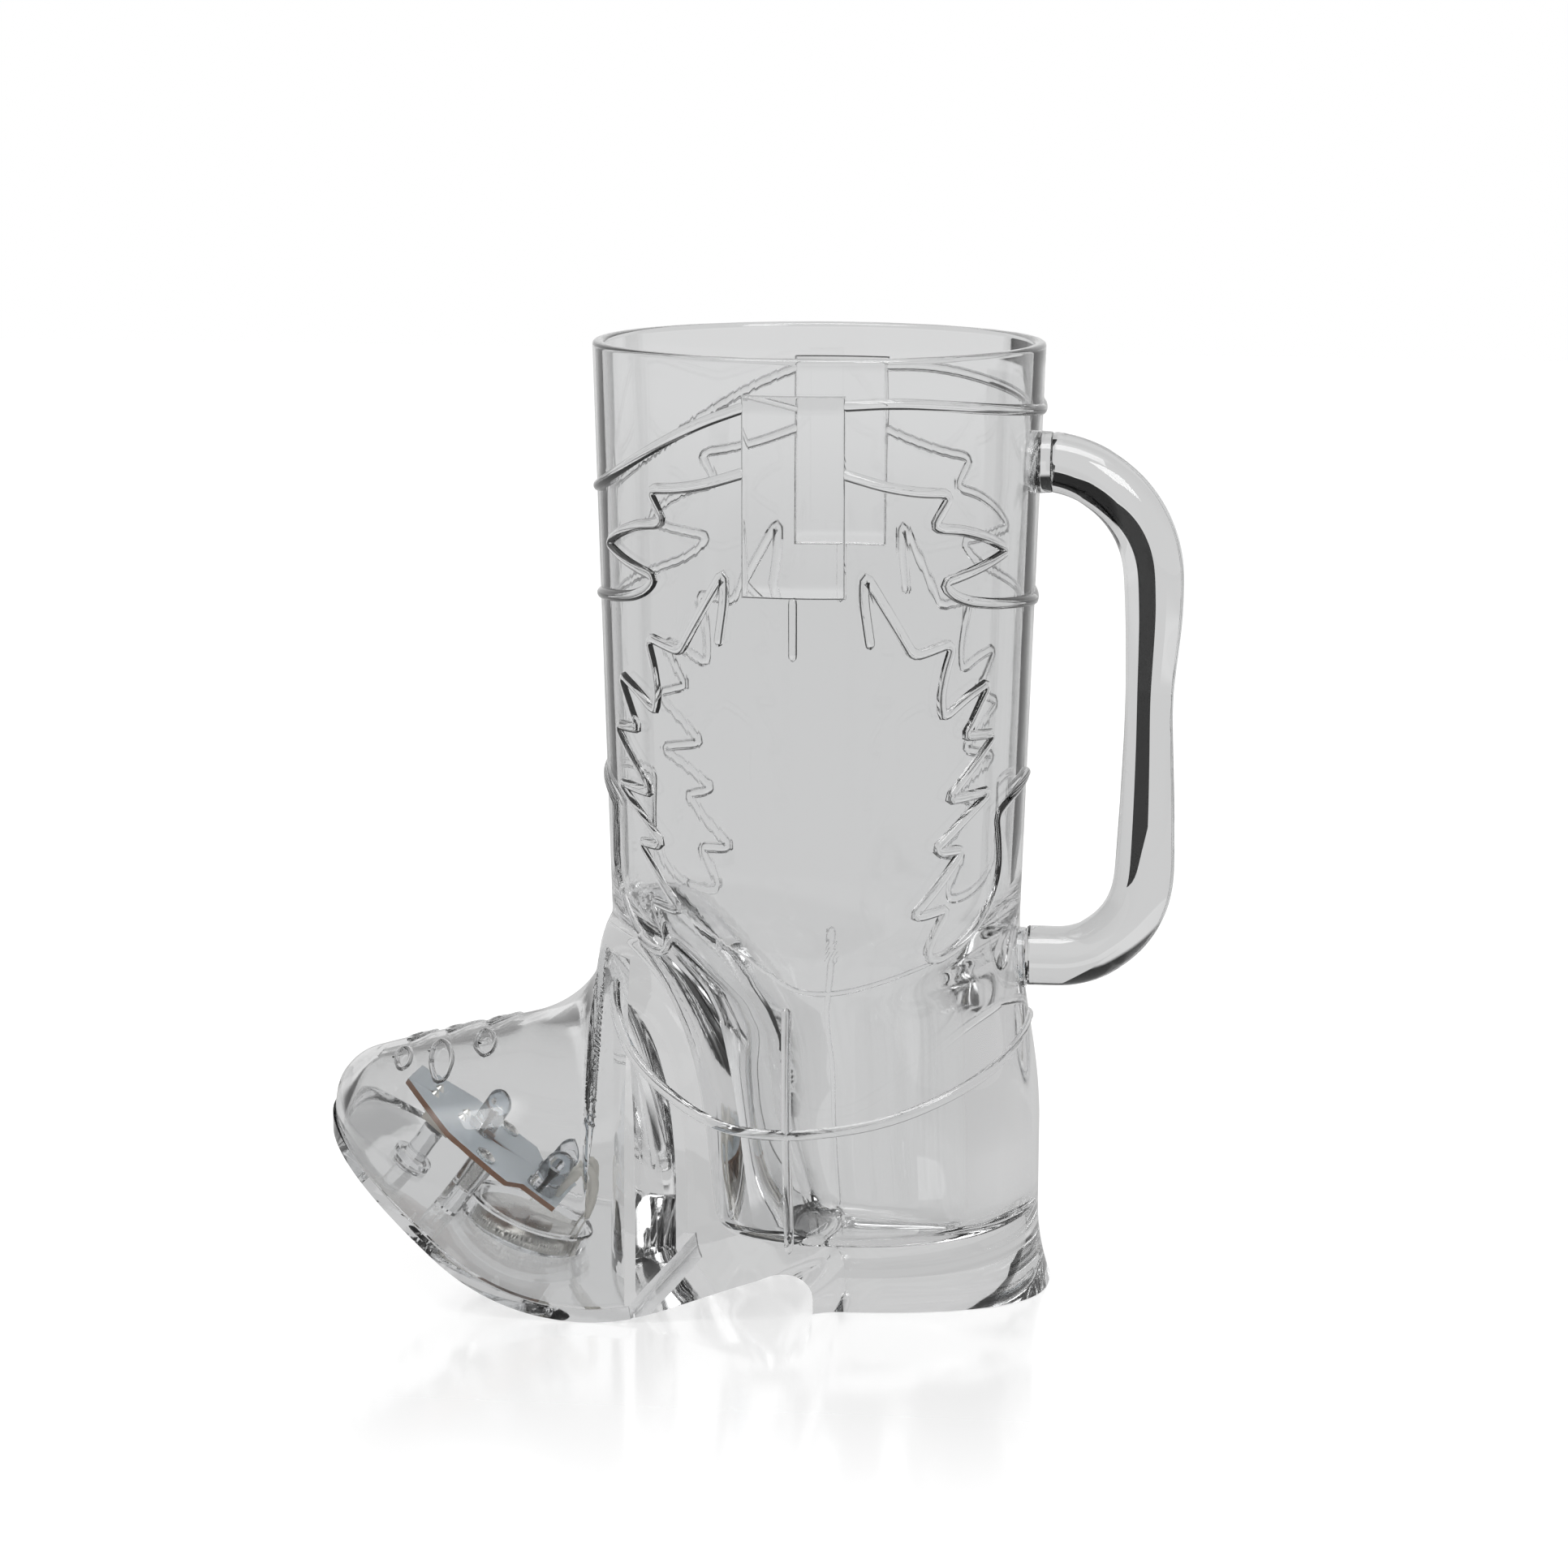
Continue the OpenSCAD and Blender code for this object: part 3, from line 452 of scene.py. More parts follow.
# Pull straps: two flat panels of the same acrylic that stand out of the shaft's sides, moulded with it.
# Their edges are steep, with a small round at the top.
STRAP_HALF, STRAP_LOW, STRAP_TOP, STRAP_T, STRAP_SINK = 9.4, 135, 171.5, 0.75, 0.8
edge_in = np.array([0, 0.12, 0.24, 0.34, 0.46])
edge_up = np.array([-0.08, 0.34, 0.7, 0.93, 1])
flat_x, flat_z = np.linspace(-8, 8, 17), np.linspace(138, 168, 7)


def with_edges(low, flat, high):
    """Places across a strap, with its two edges, and the share of its height at each."""
    at = np.concatenate([low + edge_in, flat, high - edge_in[::-1]])
    return at, np.concatenate([edge_up, np.ones(len(flat)), edge_up[::-1]])


def strap_layer(side, out):
    """A strap's points on one side of the boot, that far out of the shaft's surface."""
    y = np.sqrt((shaft_r(strap_z) + out) ** 2 - strap_x**2)
    return np.stack([AXIS + strap_x, side * y, strap_z], 2).reshape(-1, 3)


x_at, x_up = with_edges(-STRAP_HALF, flat_x, STRAP_HALF)
z_at, z_up = with_edges(STRAP_LOW, flat_z, STRAP_TOP)
strap_x, strap_z = np.meshgrid(x_at, z_at)
rise = STRAP_T * np.minimum(x_up[None, :], z_up[:, None])
count = strap_x.size
at = np.arange(count).reshape(strap_x.shape)
quads = np.stack([at[:-1, :-1], at[:-1, 1:], at[1:, 1:], at[1:, :-1]], 2).reshape(-1, 4)
rim = np.concatenate([at[0, :-1], at[:-1, -1], at[-1, :0:-1], at[:0:-1, 0]])
rim_next = np.roll(rim, -1)
walls = np.stack([rim, rim_next, rim_next + count, rim + count], 1)
faces = np.concatenate([quads, quads[:, ::-1] + count, walls]).tolist()
for side in (-1, 1):
    verts = np.concatenate([strap_layer(side, rise), strap_layer(side, -STRAP_SINK)])
    carve(shell, closed("strap", verts, faces), "UNION")

# Raised stitch lines: a collar, a wing and a flame round the shaft, the counter's upper edge, a seam up each
# side, and drop-shaped toe stitches. They stand out of the surface, moulded with it. A point of a line
# round the shaft is its degrees from the near strap and its height, and one of a drop is its d and its y.
LINE_R, LINE_DEPTH, LINE_STEP = 1.1, 0.35, 0.7
MM_PER_DEGREE = 0.7
SHARP_BEND, SHARP_ROUND, SOFT_SHARE, CORNER_POINTS = 55, 1.3, 0.48, 7
NEAREST, FARTHEST, SEARCH_ROUNDS = 20.0, 95.0, 40
END_ROUND, END_SHARE, LINE_SIDES = 1.2, 0.3, 16
STRAP_SEAM, STRAP_SEAM_R = (135.5, 123), LINE_R * 0.8
SIDE_SEAM, SIDE_SEAM_R, SIDE_SEAM_D = (60, 12), LINE_R * 0.9, 1.1
DROP_R, DROP_DEPTH = 0.55, 0.15
collar_back = [(11.2, 169.7), (24.6, 170.1), (37.9, 169.3), (53.9, 168), (68.9, 167), (89, 165.8),
               (90, 165.8)]
collar_front = [(11.2, 169.5), (24.8, 165.9), (41.1, 160.3), (56.6, 155.2), (73.9, 151.6), (90, 150.2)]
wing = [(11.2, 157.8), (22.9, 155.1), (31.6, 153.9), (39.4, 153.5), (41.2, 152.6), (38.8, 150),
        (36.7, 147.8), (38.9, 147.1), (45.4, 146.6), (54.2, 144.9), (61.7, 142.6), (63.3, 141.6),
        (54, 139.6), (47, 138.4), (41.2, 137.5), (40.4, 136.7), (43.4, 134.8), (49, 133.3),
        (58.6, 132.3), (69, 131.7), (90, 130.4)]
flame = [(20, 125.8), (19.1, 129.7), (18, 134.8), (18.1, 139.5), (20.4, 137.1), (25.7, 131.1), (31.1, 125),
         (32.8, 124.4), (37.5, 125.2), (42, 126), (43.4, 125), (41.3, 120.7), (40.2, 116.3), (40.9, 112.9),
         (42.7, 113.1), (48.7, 115.7), (56.1, 117.8), (56.9, 116.9), (53.5, 113.5), (50.6, 110.3),
         (48.3, 108.8), (52.3, 108.5), (59.8, 108.3), (59.9, 107.3), (51.2, 102.3), (43.3, 97.3), (47, 97.2),
         (59, 97.7), (58.3, 96.8), (48.8, 92.9), (39.8, 88.3), (42, 87.6), (48.5, 87.6), (48.3, 86.7),
         (41.5, 81.6), (33.5, 76.3), (36, 76.1), (43.7, 76.9), (43.7, 76.2), (40.1, 72.3), (38.1, 69.1),
         (39.2, 67.9), (41.9, 67.8), (47.3, 69), (54.5, 71.8), (62.3, 76.6), (66.5, 82.3), (65.3, 88.5),
         (63.9, 92.5), (69.3, 94.5), (79.2, 96.5), (90, 97.8)]
counter_line = [(-50, 62), (-46.7, 57.7), (-37.2, 46.9), (-23.4, 36.9), (-2.6, 35.5), (22.7, 37.9),
                (44.4, 43.4), (69.9, 49.1), (90, 51)]
toe_drops = [[(63.3, 11.9), (62, 15.3), (60.3, 17.8), (59.3, 16.4), (59.2, 12.7), (61.1, 5.9), (62.8, 2.4),
              (63.8, 3.9)],
             [(71.6, 12.5), (70.6, 17.7), (69.1, 22), (68.1, 23.2), (67, 22.2), (66.7, 17.7), (67.3, 14.3),
              (69.5, 6.9), (71.3, 3.4), (72.2, 6.7)],
             [(78.7, 10.5), (77.4, 14.8), (76.4, 16.4), (75.6, 14.6), (75.9, 9.9), (77.2, 5.2), (78.8, 2.8),
              (79.5, 5.9)]]


def way_along(points):
    """The distance of each point from the first, along the line."""
    return np.concatenate([[0], np.cumsum(np.linalg.norm(np.diff(points, axis=0), axis=1))])


def rounded(points):
    """The points of a line with its corners rounded, then set a step apart."""
    p = np.asarray(points, float)
    line = [p[0]]
    for a, b, c in zip(p[:-2], p[1:-1], p[2:]):
        u, v = a - b, c - b
        lu, lv = np.linalg.norm(u), np.linalg.norm(v)
        bend = math.degrees(math.acos(np.clip(-(u @ v) / (lu * lv), -1, 1)))
        keep = SOFT_SHARE * min(lu, lv)
        if bend > SHARP_BEND:
            keep = min(keep, SHARP_ROUND)
        first, last = b + u / lu * keep, b + v / lv * keep
        for t in np.linspace(0, 1, CORNER_POINTS):
            line.append((1 - t) ** 2 * first + 2 * t * (1 - t) * b + t * t * last)
    line = np.array(line + [p[-1]])
    way = way_along(line)
    spots = np.linspace(0, way[-1], max(3, int(way[-1] / LINE_STEP) + 1))
    return np.stack([np.interp(spots, way, line[:, i]) for i in range(line.shape[1])], 1)


def shaft_line(points):
    """A line that runs from the near side round the boot's back or front to the far side."""
    flat = rounded([(a * MM_PER_DEGREE, z) for a, z in points])
    turn, z = np.radians(flat[:, 0] / MM_PER_DEGREE), flat[:, 1]
    s, c = np.sin(turn), np.cos(turn)
    low, high = np.full(len(turn), NEAREST), np.full(len(turn), FARTHEST)
    for _ in range(SEARCH_ROUNDS):
        mid = (low + high) / 2
        d = -mid * s
        inside = (np.abs(mid * c) < half(d, z)) & (d < reach(z)) & (-d < back(z))
        low, high = np.where(inside, mid, low), np.where(inside, high, mid)
    r = low - LINE_DEPTH
    near = np.stack([AXIS + r * s, -r * c, z], 1)
    return np.concatenate([near, (near * [1, -1, 1])[-2::-1]])


def ahead(points):
    return [(-a, z) for a, z in points]


round_shaft_lines = (collar_back, ahead(collar_front), wing, ahead(wing), flame, ahead(flame), counter_line)
lines = [(shaft_line(points), LINE_R) for points in round_shaft_lines]
for side in (-1, 1):
    z = np.arange(*STRAP_SEAM, -LINE_STEP)
    seam = np.stack([np.full_like(z, AXIS), side * (shaft_r(z) - LINE_DEPTH), z], 1)
    lines.append((seam, STRAP_SEAM_R))
    z = np.arange(*SIDE_SEAM, -LINE_STEP)
    y = side * (half(SIDE_SEAM_D, z) - LINE_DEPTH)
    lines.append((np.stack([np.full_like(z, AXIS - SIDE_SEAM_D), y, z], 1), SIDE_SEAM_R))
for drop in toe_drops:
    flat = rounded(drop[-1:] + drop + drop[:2])[2:-2]
    d, y = flat[:, 0], flat[:, 1]
    s = side_top(d)
    z = s + quarter(y / foot_half(d), VAMP_ROUND) * (ridge(d) - s)
    for side in (-1, 1):
        lines.append((np.stack([AXIS - d, side * y, z - DROP_DEPTH], 1), DROP_R))


def node_group(name, kind, inputs, outputs):
    """A new node group with named sockets, and its input and output nodes."""
    group = bpy.data.node_groups.new(name, kind)
    for way, sockets in (("INPUT", inputs), ("OUTPUT", outputs)):
        for label, form in sockets:
            group.interface.new_socket(label, in_out=way, socket_type="NodeSocket" + form)
    return group, node(group, "NodeGroupInput"), node(group, "NodeGroupOutput")


raised_line, group_in, group_out = node_group(
    "raised_line", "GeometryNodeTree",
    [("Path", "Geometry"), ("Radius", "Float"), ("Sides", "Int"), ("Material", "Material")],
    [("Line", "Geometry")])
ring = node(raised_line, "GeometryNodeCurvePrimitiveCircle")
share = node(raised_line, "GeometryNodeInputRadius")
sweep = node(raised_line, "GeometryNodeCurveToMesh")
real = node(raised_line, "GeometryNodeRealizeInstances")
paint = node(raised_line, "GeometryNodeSetMaterial")
wire(raised_line, group_in.outputs["Path"], sweep.inputs["Curve"])
wire(raised_line, group_in.outputs["Radius"], ring.inputs["Radius"])
wire(raised_line, group_in.outputs["Sides"], ring.inputs["Resolution"])
wire(raised_line, ring.outputs["Curve"], sweep.inputs["Profile Curve"])
wire(raised_line, share.outputs["Radius"], sweep.inputs["Scale"])
sweep.inputs["Fill Caps"].default_value = True
wire(raised_line, sweep.outputs["Mesh"], real.inputs["Geometry"])
wire(raised_line, real.outputs["Geometry"], paint.inputs["Geometry"])
wire(raised_line, group_in.outputs["Material"], paint.inputs["Material"])
wire(raised_line, paint.outputs["Geometry"], group_out.inputs["Line"])


def put_nodes(obj, group, **values):
    """Puts a node group on an object, with its inputs set by their sockets' identifiers."""
    step = obj.modifiers.new(group.name, "NODES")
    step.node_group = group
    ids = {s.name: s.identifier for s in group.interface.items_tree if s.in_out == "INPUT"}
    for label, value in values.items():
        step[ids[label]] = value


def swept(name, points, radii, radius, sides, paint=None):
    """A round bar along the points, in millimetres, as a plain mesh. Radii are shares of the radius."""
    curve = bpy.data.curves.new(name, "CURVE")
    curve.dimensions = "3D"
    spline = curve.splines.new("POLY")
    spline.points.add(len(points) - 1)
    for p, at, share in zip(spline.points, points, radii):
        p.co = (*(at * 0.001), 1)
        p.radius = share
    bar = placed(name + "_path", curve)
    put_nodes(bar, raised_line, Radius=radius * 0.001, Sides=sides, Material=paint)
    mesh = plain_mesh(bar)
    bpy.data.objects.remove(bar)
    b = bmesh.new()
    b.from_mesh(mesh)
    bmesh.ops.remove_doubles(b, verts=b.verts, dist=1e-7)
    bmesh.ops.recalc_face_normals(b, faces=b.faces)
    b.to_mesh(mesh)
    b.free()
    return placed(name, mesh)


for points, radius in lines:
    way = way_along(points)
    from_end = np.clip(np.minimum(way, way[-1] - way) / END_ROUND, 0, 1)
    radii = np.clip(root(1 - (1 - from_end) ** 2), END_SHARE, 1)
    carve(shell, swept("line", points, radii, radius, LINE_SIDES), "UNION")

# Room for the drink: a round bore that narrows through a soft shoulder into the oval well over the heel.
# The mould's core forms it. A knot is a height, how far the room's middle lies behind the shaft's axis, and
# half of the room's length and width.
RIM_WALL, BORE_Z, BORE_SLOPE = 2.3, 77, 0.033
WELL_FLOOR, FLOOR_ROUND, CUT_OVER = 12.5, 4, 0.02
SIDE_DROP, DROP_LOW, DROP_LOW_H, DROP_TOP, DROP_TOP_H = 8, 42, 26, 70, 18
BORE_R, BORE_TOP_R = float(shaft_r(BORE_Z)) - RIM_WALL, RIM_R - RIM_WALL
knots = np.array([(WELL_FLOOR + FLOOR_ROUND, 7, 26, 27), (41, 5.3, 26.3, 30.2), (58, 3, 29, 32.2),
                  (64.5, 1.8, 31.2, 33.4), (70.5, 0.7, 34.2, 35), (BORE_Z, 0, BORE_R, BORE_R)])
slope = np.diff(knots[:, 1:], axis=0) / np.diff(knots[:, 0])[:, None]
tangent = np.concatenate([slope[:1], (slope[:-1] + slope[1:]) / 2, [[0, BORE_SLOPE, BORE_SLOPE]]])
room_turn = np.linspace(0, 2 * math.pi, 144, endpoint=False)


def oval(middle, long, wide, z):
    """A ring of the room. The shoulder lies lower at the sides than at the front and back."""
    s, c = np.sin(room_turn), np.cos(room_turn)
    drop = SIDE_DROP * float(ease((z - DROP_LOW) / DROP_LOW_H) * (1 - ease((z - DROP_TOP) / DROP_TOP_H)))
    return np.stack([AXIS + middle + long * c, wide * s, z - drop * s**2], 1)


rings = []
floor_middle, floor_long, floor_wide = knots[0, 1:]
for a in np.radians(np.linspace(0, 90, 9)[:-1]):
    b = FLOOR_ROUND * (1 - math.sin(a))
    z = WELL_FLOOR + FLOOR_ROUND * (1 - math.cos(a))
    rings.append(oval(floor_middle, floor_long - b, floor_wide - b, z))
for k in range(len(knots) - 1):
    z0, z1 = knots[k, 0], knots[k + 1, 0]
    for z in np.linspace(z0, z1, max(5, int((z1 - z0) / 2)))[:-1]:
        t, h = (z - z0) / (z1 - z0), z1 - z0
        value = ((2 * t**3 - 3 * t**2 + 1) * knots[k, 1:] + (t**3 - 2 * t**2 + t) * h * tangent[k]
                 + (3 * t**2 - 2 * t**3) * knots[k + 1, 1:] + (t**3 - t**2) * h * tangent[k + 1])
        rings.append(oval(*value, z))
straight = np.linspace(95, BOOT_H - RIM_ROUND - RIM_SUPPORT, 12)
for z in np.concatenate([np.linspace(BORE_Z, 88, 8), straight, [BOOT_H - RIM_ROUND]]):
    r = BORE_R + (BORE_TOP_R - BORE_R) * (z - BORE_Z) / (BOOT_H - BORE_Z)
    rings.append(oval(0, r, r, z))
for a in rim_turns:
    r = BORE_TOP_R + RIM_ROUND * (1 - math.cos(a))
    over = CUT_OVER if a == rim_turns[-1] else 0
    rings.append(oval(0, r, r, BOOT_H - RIM_ROUND * (1 - math.sin(a)) + over))
carve(shell, skin("drink_room", rings))

# Toe space: the hollow in the toe, which the lamps light up. The mould forms it from below, with an even
# wall round it and the round wall of the shaft at its rear.
TOE_WALL, REAR_OVER, PLATE_END, LEDGE = 2.5, 0.4, 29.5, 1.6
FAR = 100


def prism(name, plan, low, high, axis):
    """A plan of two coordinates, stretched along the axis with that number."""
    def side(v):
        return np.insert(np.asarray(plan, float), axis, v, 1)
    return skin(name, [side(low), side(high)])


levels = np.concatenate([np.linspace(-5, 29, 13), np.arange(30, sweep_c[1] - TOE_WALL - 3, 0.4)])
rings = [to_ring(inset(outline(max(0.0, z + TOE_WALL)), TOE_WALL), z) for z in levels]
space = skin("toe_space", rings)
rear = AXIS - PLATE_END - LEDGE
toe_plan = [(rear - 2 * FAR, -FAR), (rear, -FAR), (rear, FAR), (rear - 2 * FAR, FAR)]
carve(space, prism("toe_plan", toe_plan, -FAR, FAR, 2), "INTERSECT")
rear_wall = [(ANKLE_R + REAR_OVER, -FAR), (ANKLE_R + REAR_OVER, FAR)]
carve(space, lathe("rear_wall", rear_wall, (AXIS, 0, 0), (0, 0, 1), 160))
carve(shell, space)

# Underside: the rocker under the toe, the arch and the gap in front of the heel, all parts of the moulding.
# The rocker is cut back by the thickness of the sole plate that is glued there.
ARCH_RISE, ARCH_R, BREAST = math.radians(18), 6, 3
PLATE_T, TOE_OVER, BELOW = 2.4, 5.5, -20
PLATE_A = -math.asin((BALL_D - PLATE_END) / ROCKER_R)


def sole_arc(a, n=0.0):
    """X and Z of a point on the rocker's arc at angle a, moved n into the boot."""
    return [AXIS - BALL_D - (ROCKER_R - n) * math.sin(a), ROCKER_R - (ROCKER_R - n) * math.cos(a)]


def sole_toe(n):
    """X and Z of the sole's end, beyond the tip of the toe, moved n into the boot."""
    run = (TOE_REACH + TOE_OVER - spring_d) / math.cos(TOE_SPRING)
    x, z = sole_arc(TOE_SPRING, n)
    return [x - run * math.cos(TOE_SPRING), z + run * math.sin(TOE_SPRING)]


arch_d = BALL_D - ROCKER_R * math.sin(ARCH_RISE)
arch_z = ROCKER_R * (1 - math.cos(ARCH_RISE))
breast_x = AXIS + BREAST
arc_x = breast_x - ARCH_R
arc_z = arch_z + (arch_d + arc_x - AXIS) * math.tan(ARCH_RISE) - ARCH_R / math.cos(ARCH_RISE)
under = [[sole_toe(PLATE_T)[0], BELOW], sole_toe(PLATE_T)]
under += [sole_arc(a, PLATE_T) for a in np.linspace(TOE_SPRING, PLATE_A, 40)]
under += [sole_arc(a) for a in np.linspace(PLATE_A, -ARCH_RISE, 12)]
under += [[arc_x + ARCH_R * math.cos(a), arc_z + ARCH_R * math.sin(a)]
          for a in np.linspace(math.pi / 2 + ARCH_RISE, 0, 18)]
under += [[breast_x, 0], [breast_x, BELOW]]
carve(shell, prism("under", under, -FAR, FAR, 1))

# Clear acrylic: the finish of the shell. Faint flow waves from the mould and fine handling marks are one
# shared effect, which each clear piece has with its own scale of waves.
ACRYLIC, SHELL_WAVE = (0.985, 0.988, 0.99), 28
WAVE_STRENGTH, WAVE_DEPTH = 0.12, 0.0006
POLISHED, SCUFFED, SCUFF_SCALE, SCUFF_RANGE = 0.012, 0.05, 900, (0.35, 0.75)
marks, group_in, group_out = node_group(
    "moulding_marks", "ShaderNodeTree", [("Vector", "Vector"), ("Wave scale", "Float")],
    [("Roughness", "Float"), ("Height", "Float")])
flow = node(marks, "ShaderNodeTexNoise")
flow.inputs["Detail"].default_value = 1.5
scuff = node(marks, "ShaderNodeTexNoise")
scuff.inputs["Scale"].default_value = SCUFF_SCALE
wire(marks, group_in.outputs["Vector"], flow.inputs["Vector"])
wire(marks, group_in.outputs["Wave scale"], flow.inputs["Scale"])
wire(marks, group_in.outputs["Vector"], scuff.inputs["Vector"])
rough = ramp(marks, scuff.outputs["Fac"], *SCUFF_RANGE, POLISHED, SCUFFED)
wire(marks, rough, group_out.inputs["Roughness"])
wire(marks, flow.outputs["Fac"], group_out.inputs["Height"])


def principled(name, colour, **values):
    mat = bpy.data.materials.new(name)
    mat.use_nodes = True
    shader = mat.node_tree.nodes["Principled BSDF"]
    shader.inputs["Base Color"].default_value = (*colour, 1)
    for key, value in values.items():
        shader.inputs[key.replace("_", " ")].default_value = value
    return mat, mat.node_tree, shader


def follow(tree, shader, effect, strength, distance, **values):
    """Gives a shader the roughness of a shared effect, and a bump of that strength and depth."""
    place = node(tree, "ShaderNodeTexCoord")
    group = node(tree, "ShaderNodeGroup", node_tree=effect)
    for key, value in values.items():
        group.inputs[key.replace("_", " ")].default_value = value
    bump = node(tree, "ShaderNodeBump")
    bump.inputs["Strength"].default_value = strength
    bump.inputs["Distance"].default_value = distance
    wire(tree, place.outputs["Object"], group.inputs["Vector"])
    wire(tree, group.outputs["Roughness"], shader.inputs["Roughness"])
    wire(tree, group.outputs["Height"], bump.inputs["Height"])
    wire(tree, bump.outputs["Normal"], shader.inputs["Normal"])


def clear(name, colour, wave, ior=1.5):
    mat, tree, shader = principled(name, colour, Transmission_Weight=1.0, IOR=ior)
    follow(tree, shader, marks, WAVE_STRENGTH, WAVE_DEPTH, Wave_scale=wave)
    return mat


def smooth(obj, angle=32):
    """Smooth shading that keeps edges sharper than the angle."""
    for face in obj.data.polygons:
        face.use_smooth = True
    obj.data.set_sharp_from_angle(angle=math.radians(angle))


def finish_piece(obj, body, slot, paint, *nodes):
    obj.data.materials.clear()
    obj.data.materials.append(paint)
    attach(obj, body)
    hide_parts(*nodes)


smooth(shell)
finish_piece(shell, "cup", "shell_plastic", clear("shell_acrylic", ACRYLIC, SHELL_WAVE), "boot_shell")

# Handle: a solid clear acrylic bar, bent to a grip with a waist on its outer side, glued to the stubs. Glue
# fills the joints, so that the spigots inside them don't show. A row of the grip is a distance behind the
# shaft's axis, a height and a radius.
GLUE_GAP, JOINT_L, HANDLE_WAVE, BAR_SIDES = 0.03, 0.3, 22, 64
TOP_C, TOP_BEND, LOW_C, LOW_BEND = (41.0, 134.6), 21.6, (45.4, 79.2), 16.3
KEPT_ENDS, SMOOTH_ROUNDS = 10, 12
grip = np.array([(61.7, 79.2, 5.6), (61.95, 90.8, 5.16), (62, 100, 4.77), (62, 104.6, 4.58),
                 (61.98, 109.2, 4.43), (62.06, 113.8, 4.46), (62.28, 118.4, 4.73), (62.5, 123, 5.04),
                 (62.7, 127.5, 5.34), (62.6, 134.6, 5.6)])
bar = [(STUB_D + GLUE_GAP, ARM_TOP_Z, BAR_R - JOINT_ROUND)]
for a in np.linspace(math.acos((STUB_D + JOINT_L - TOP_C[0]) / TOP_BEND), 0, 34)[:-1]:
    bar.append((TOP_C[0] + TOP_BEND * math.cos(a), TOP_C[1] + TOP_BEND * math.sin(a), BAR_R))
for z in np.linspace(grip[-1, 1], grip[0, 1], 60):
    bar.append((np.interp(z, grip[:, 1], grip[:, 0]), z, np.interp(z, grip[:, 1], grip[:, 2])))
for a in np.linspace(0, -math.pi / 2, 26)[1:]:
    bar.append((LOW_C[0] + LOW_BEND * math.cos(a), LOW_C[1] + LOW_BEND * math.sin(a), BAR_R))
low_z = LOW_C[1] - LOW_BEND
bar += [(LOW_STUB_D + JOINT_L, low_z, BAR_R), (LOW_STUB_D + GLUE_GAP, low_z, BAR_R - JOINT_ROUND)]
bar = np.array(bar)
for _ in range(SMOOTH_ROUNDS):
    middle = bar[KEPT_ENDS:-KEPT_ENDS]
    before, after = bar[KEPT_ENDS - 1:-KEPT_ENDS - 1], bar[KEPT_ENDS + 1:-KEPT_ENDS + 1]
    bar[KEPT_ENDS:-KEPT_ENDS] = (before + 2 * middle + after) / 4
points = np.stack([AXIS + bar[:, 0], np.zeros(len(bar)), bar[:, 1]], 1)
handle_clear = clear("handle_acrylic", ACRYLIC, HANDLE_WAVE)
handle = swept("glued_handle", points, bar[:, 2] / BAR_R, BAR_R, BAR_SIDES, handle_clear)
smooth(handle)
finish_piece(handle, "cup", "handle_plastic", handle_clear, "handle")

# Sole plate: a clear acrylic plate that follows the rocker, glued under the toe. Two bosses for the board's
# screws, the cup for the battery and the button's hole are moulded with it.
PLATE_GAP, WELT, PLATE_TUCK = 0.03, 0.5, 4
SCREW_U, SCREW_Y, SCREW_HOLE_R, HOLE_LOW, HOLE_TOP = -3.9, 12.6, 0.95, 7.8, 15
BOSS_R, BOSS_TOP, BOSS_ROUND, BOSS_ROUND_L = 2.4, 13.78, 0.1, 0.06
CUP_A, CUP_R, CUP_ROUND, CUP_ROOF, CELL_ROOM_R = math.radians(24), 12.6, 0.3, 1.2, 10.6
COVER_IN, COVER_T, SET_FIT, CELL_H, LEAF_GAP = 1.25, 1.5, 0.05, 3.2, 0.65
LUG_WAY_R, LUG_WAY_LOW, LUG_WAY_TOP = 11.5, 1.75, 2.55
BUTTON_U, BUTTON_HOLE_R, BUTTON_HOLE_LOW, BUTTON_HOLE_TOP = -15, 3.08, -1, 4
CUP_CUT_LOW, PLATE_WIDE, PLAN_LOW, PLAN_TOP = -3, 80, -5, 90
toe_axis = np.array([math.sin(TOE_SPRING), 0, math.cos(TOE_SPRING)])
cup_axis = np.array([math.sin(CUP_A), 0, math.cos(CUP_A)])


def on_sole(a, u=0.0, y=0.0):
    """A point on the rocker's tangent at angle a: u runs down towards the heel, y across."""
    x, z = sole_arc(a)
    return np.array([x + u * math.cos(a), y, z - u * math.sin(a)])


plate_top = PLATE_T - PLATE_GAP
profile = [sole_arc(a) for a in np.linspace(PLATE_A, TOE_SPRING, 48)] + [sole_toe(0), sole_toe(plate_top)]
profile += [sole_arc(a, plate_top) for a in np.linspace(TOE_SPRING, PLATE_A, 48)]
plate = prism("sole_plate", profile, -PLATE_WIDE, PLATE_WIDE, 1)
plan_start = PLATE_END - PLATE_TUCK
d = plan_start + (TOE_REACH + WELT - plan_start) * np.sin(np.linspace(0, math.pi / 2, 90))
near = np.stack([AXIS - d, -foot_half(d, WELT)], 1)
plan = np.concatenate([near, (near * [1, -1])[-2::-1]])
carve(plate, prism("plan", plan, PLAN_LOW, PLAN_TOP, 2), "INTERSECT")
boss = [(BOSS_R, PLATE_T / 2), (BOSS_R, BOSS_TOP - BOSS_ROUND_L), (BOSS_R - BOSS_ROUND, BOSS_TOP)]
screw_hole = [(SCREW_HOLE_R, HOLE_LOW), (SCREW_HOLE_R, HOLE_TOP)]
for s in (-1, 1):
    at = on_sole(TOE_SPRING, SCREW_U, s * SCREW_Y)
    carve(plate, lathe("boss", boss, at, toe_axis), "UNION")
    carve(plate, lathe("hole", screw_hole, at, toe_axis, 32))
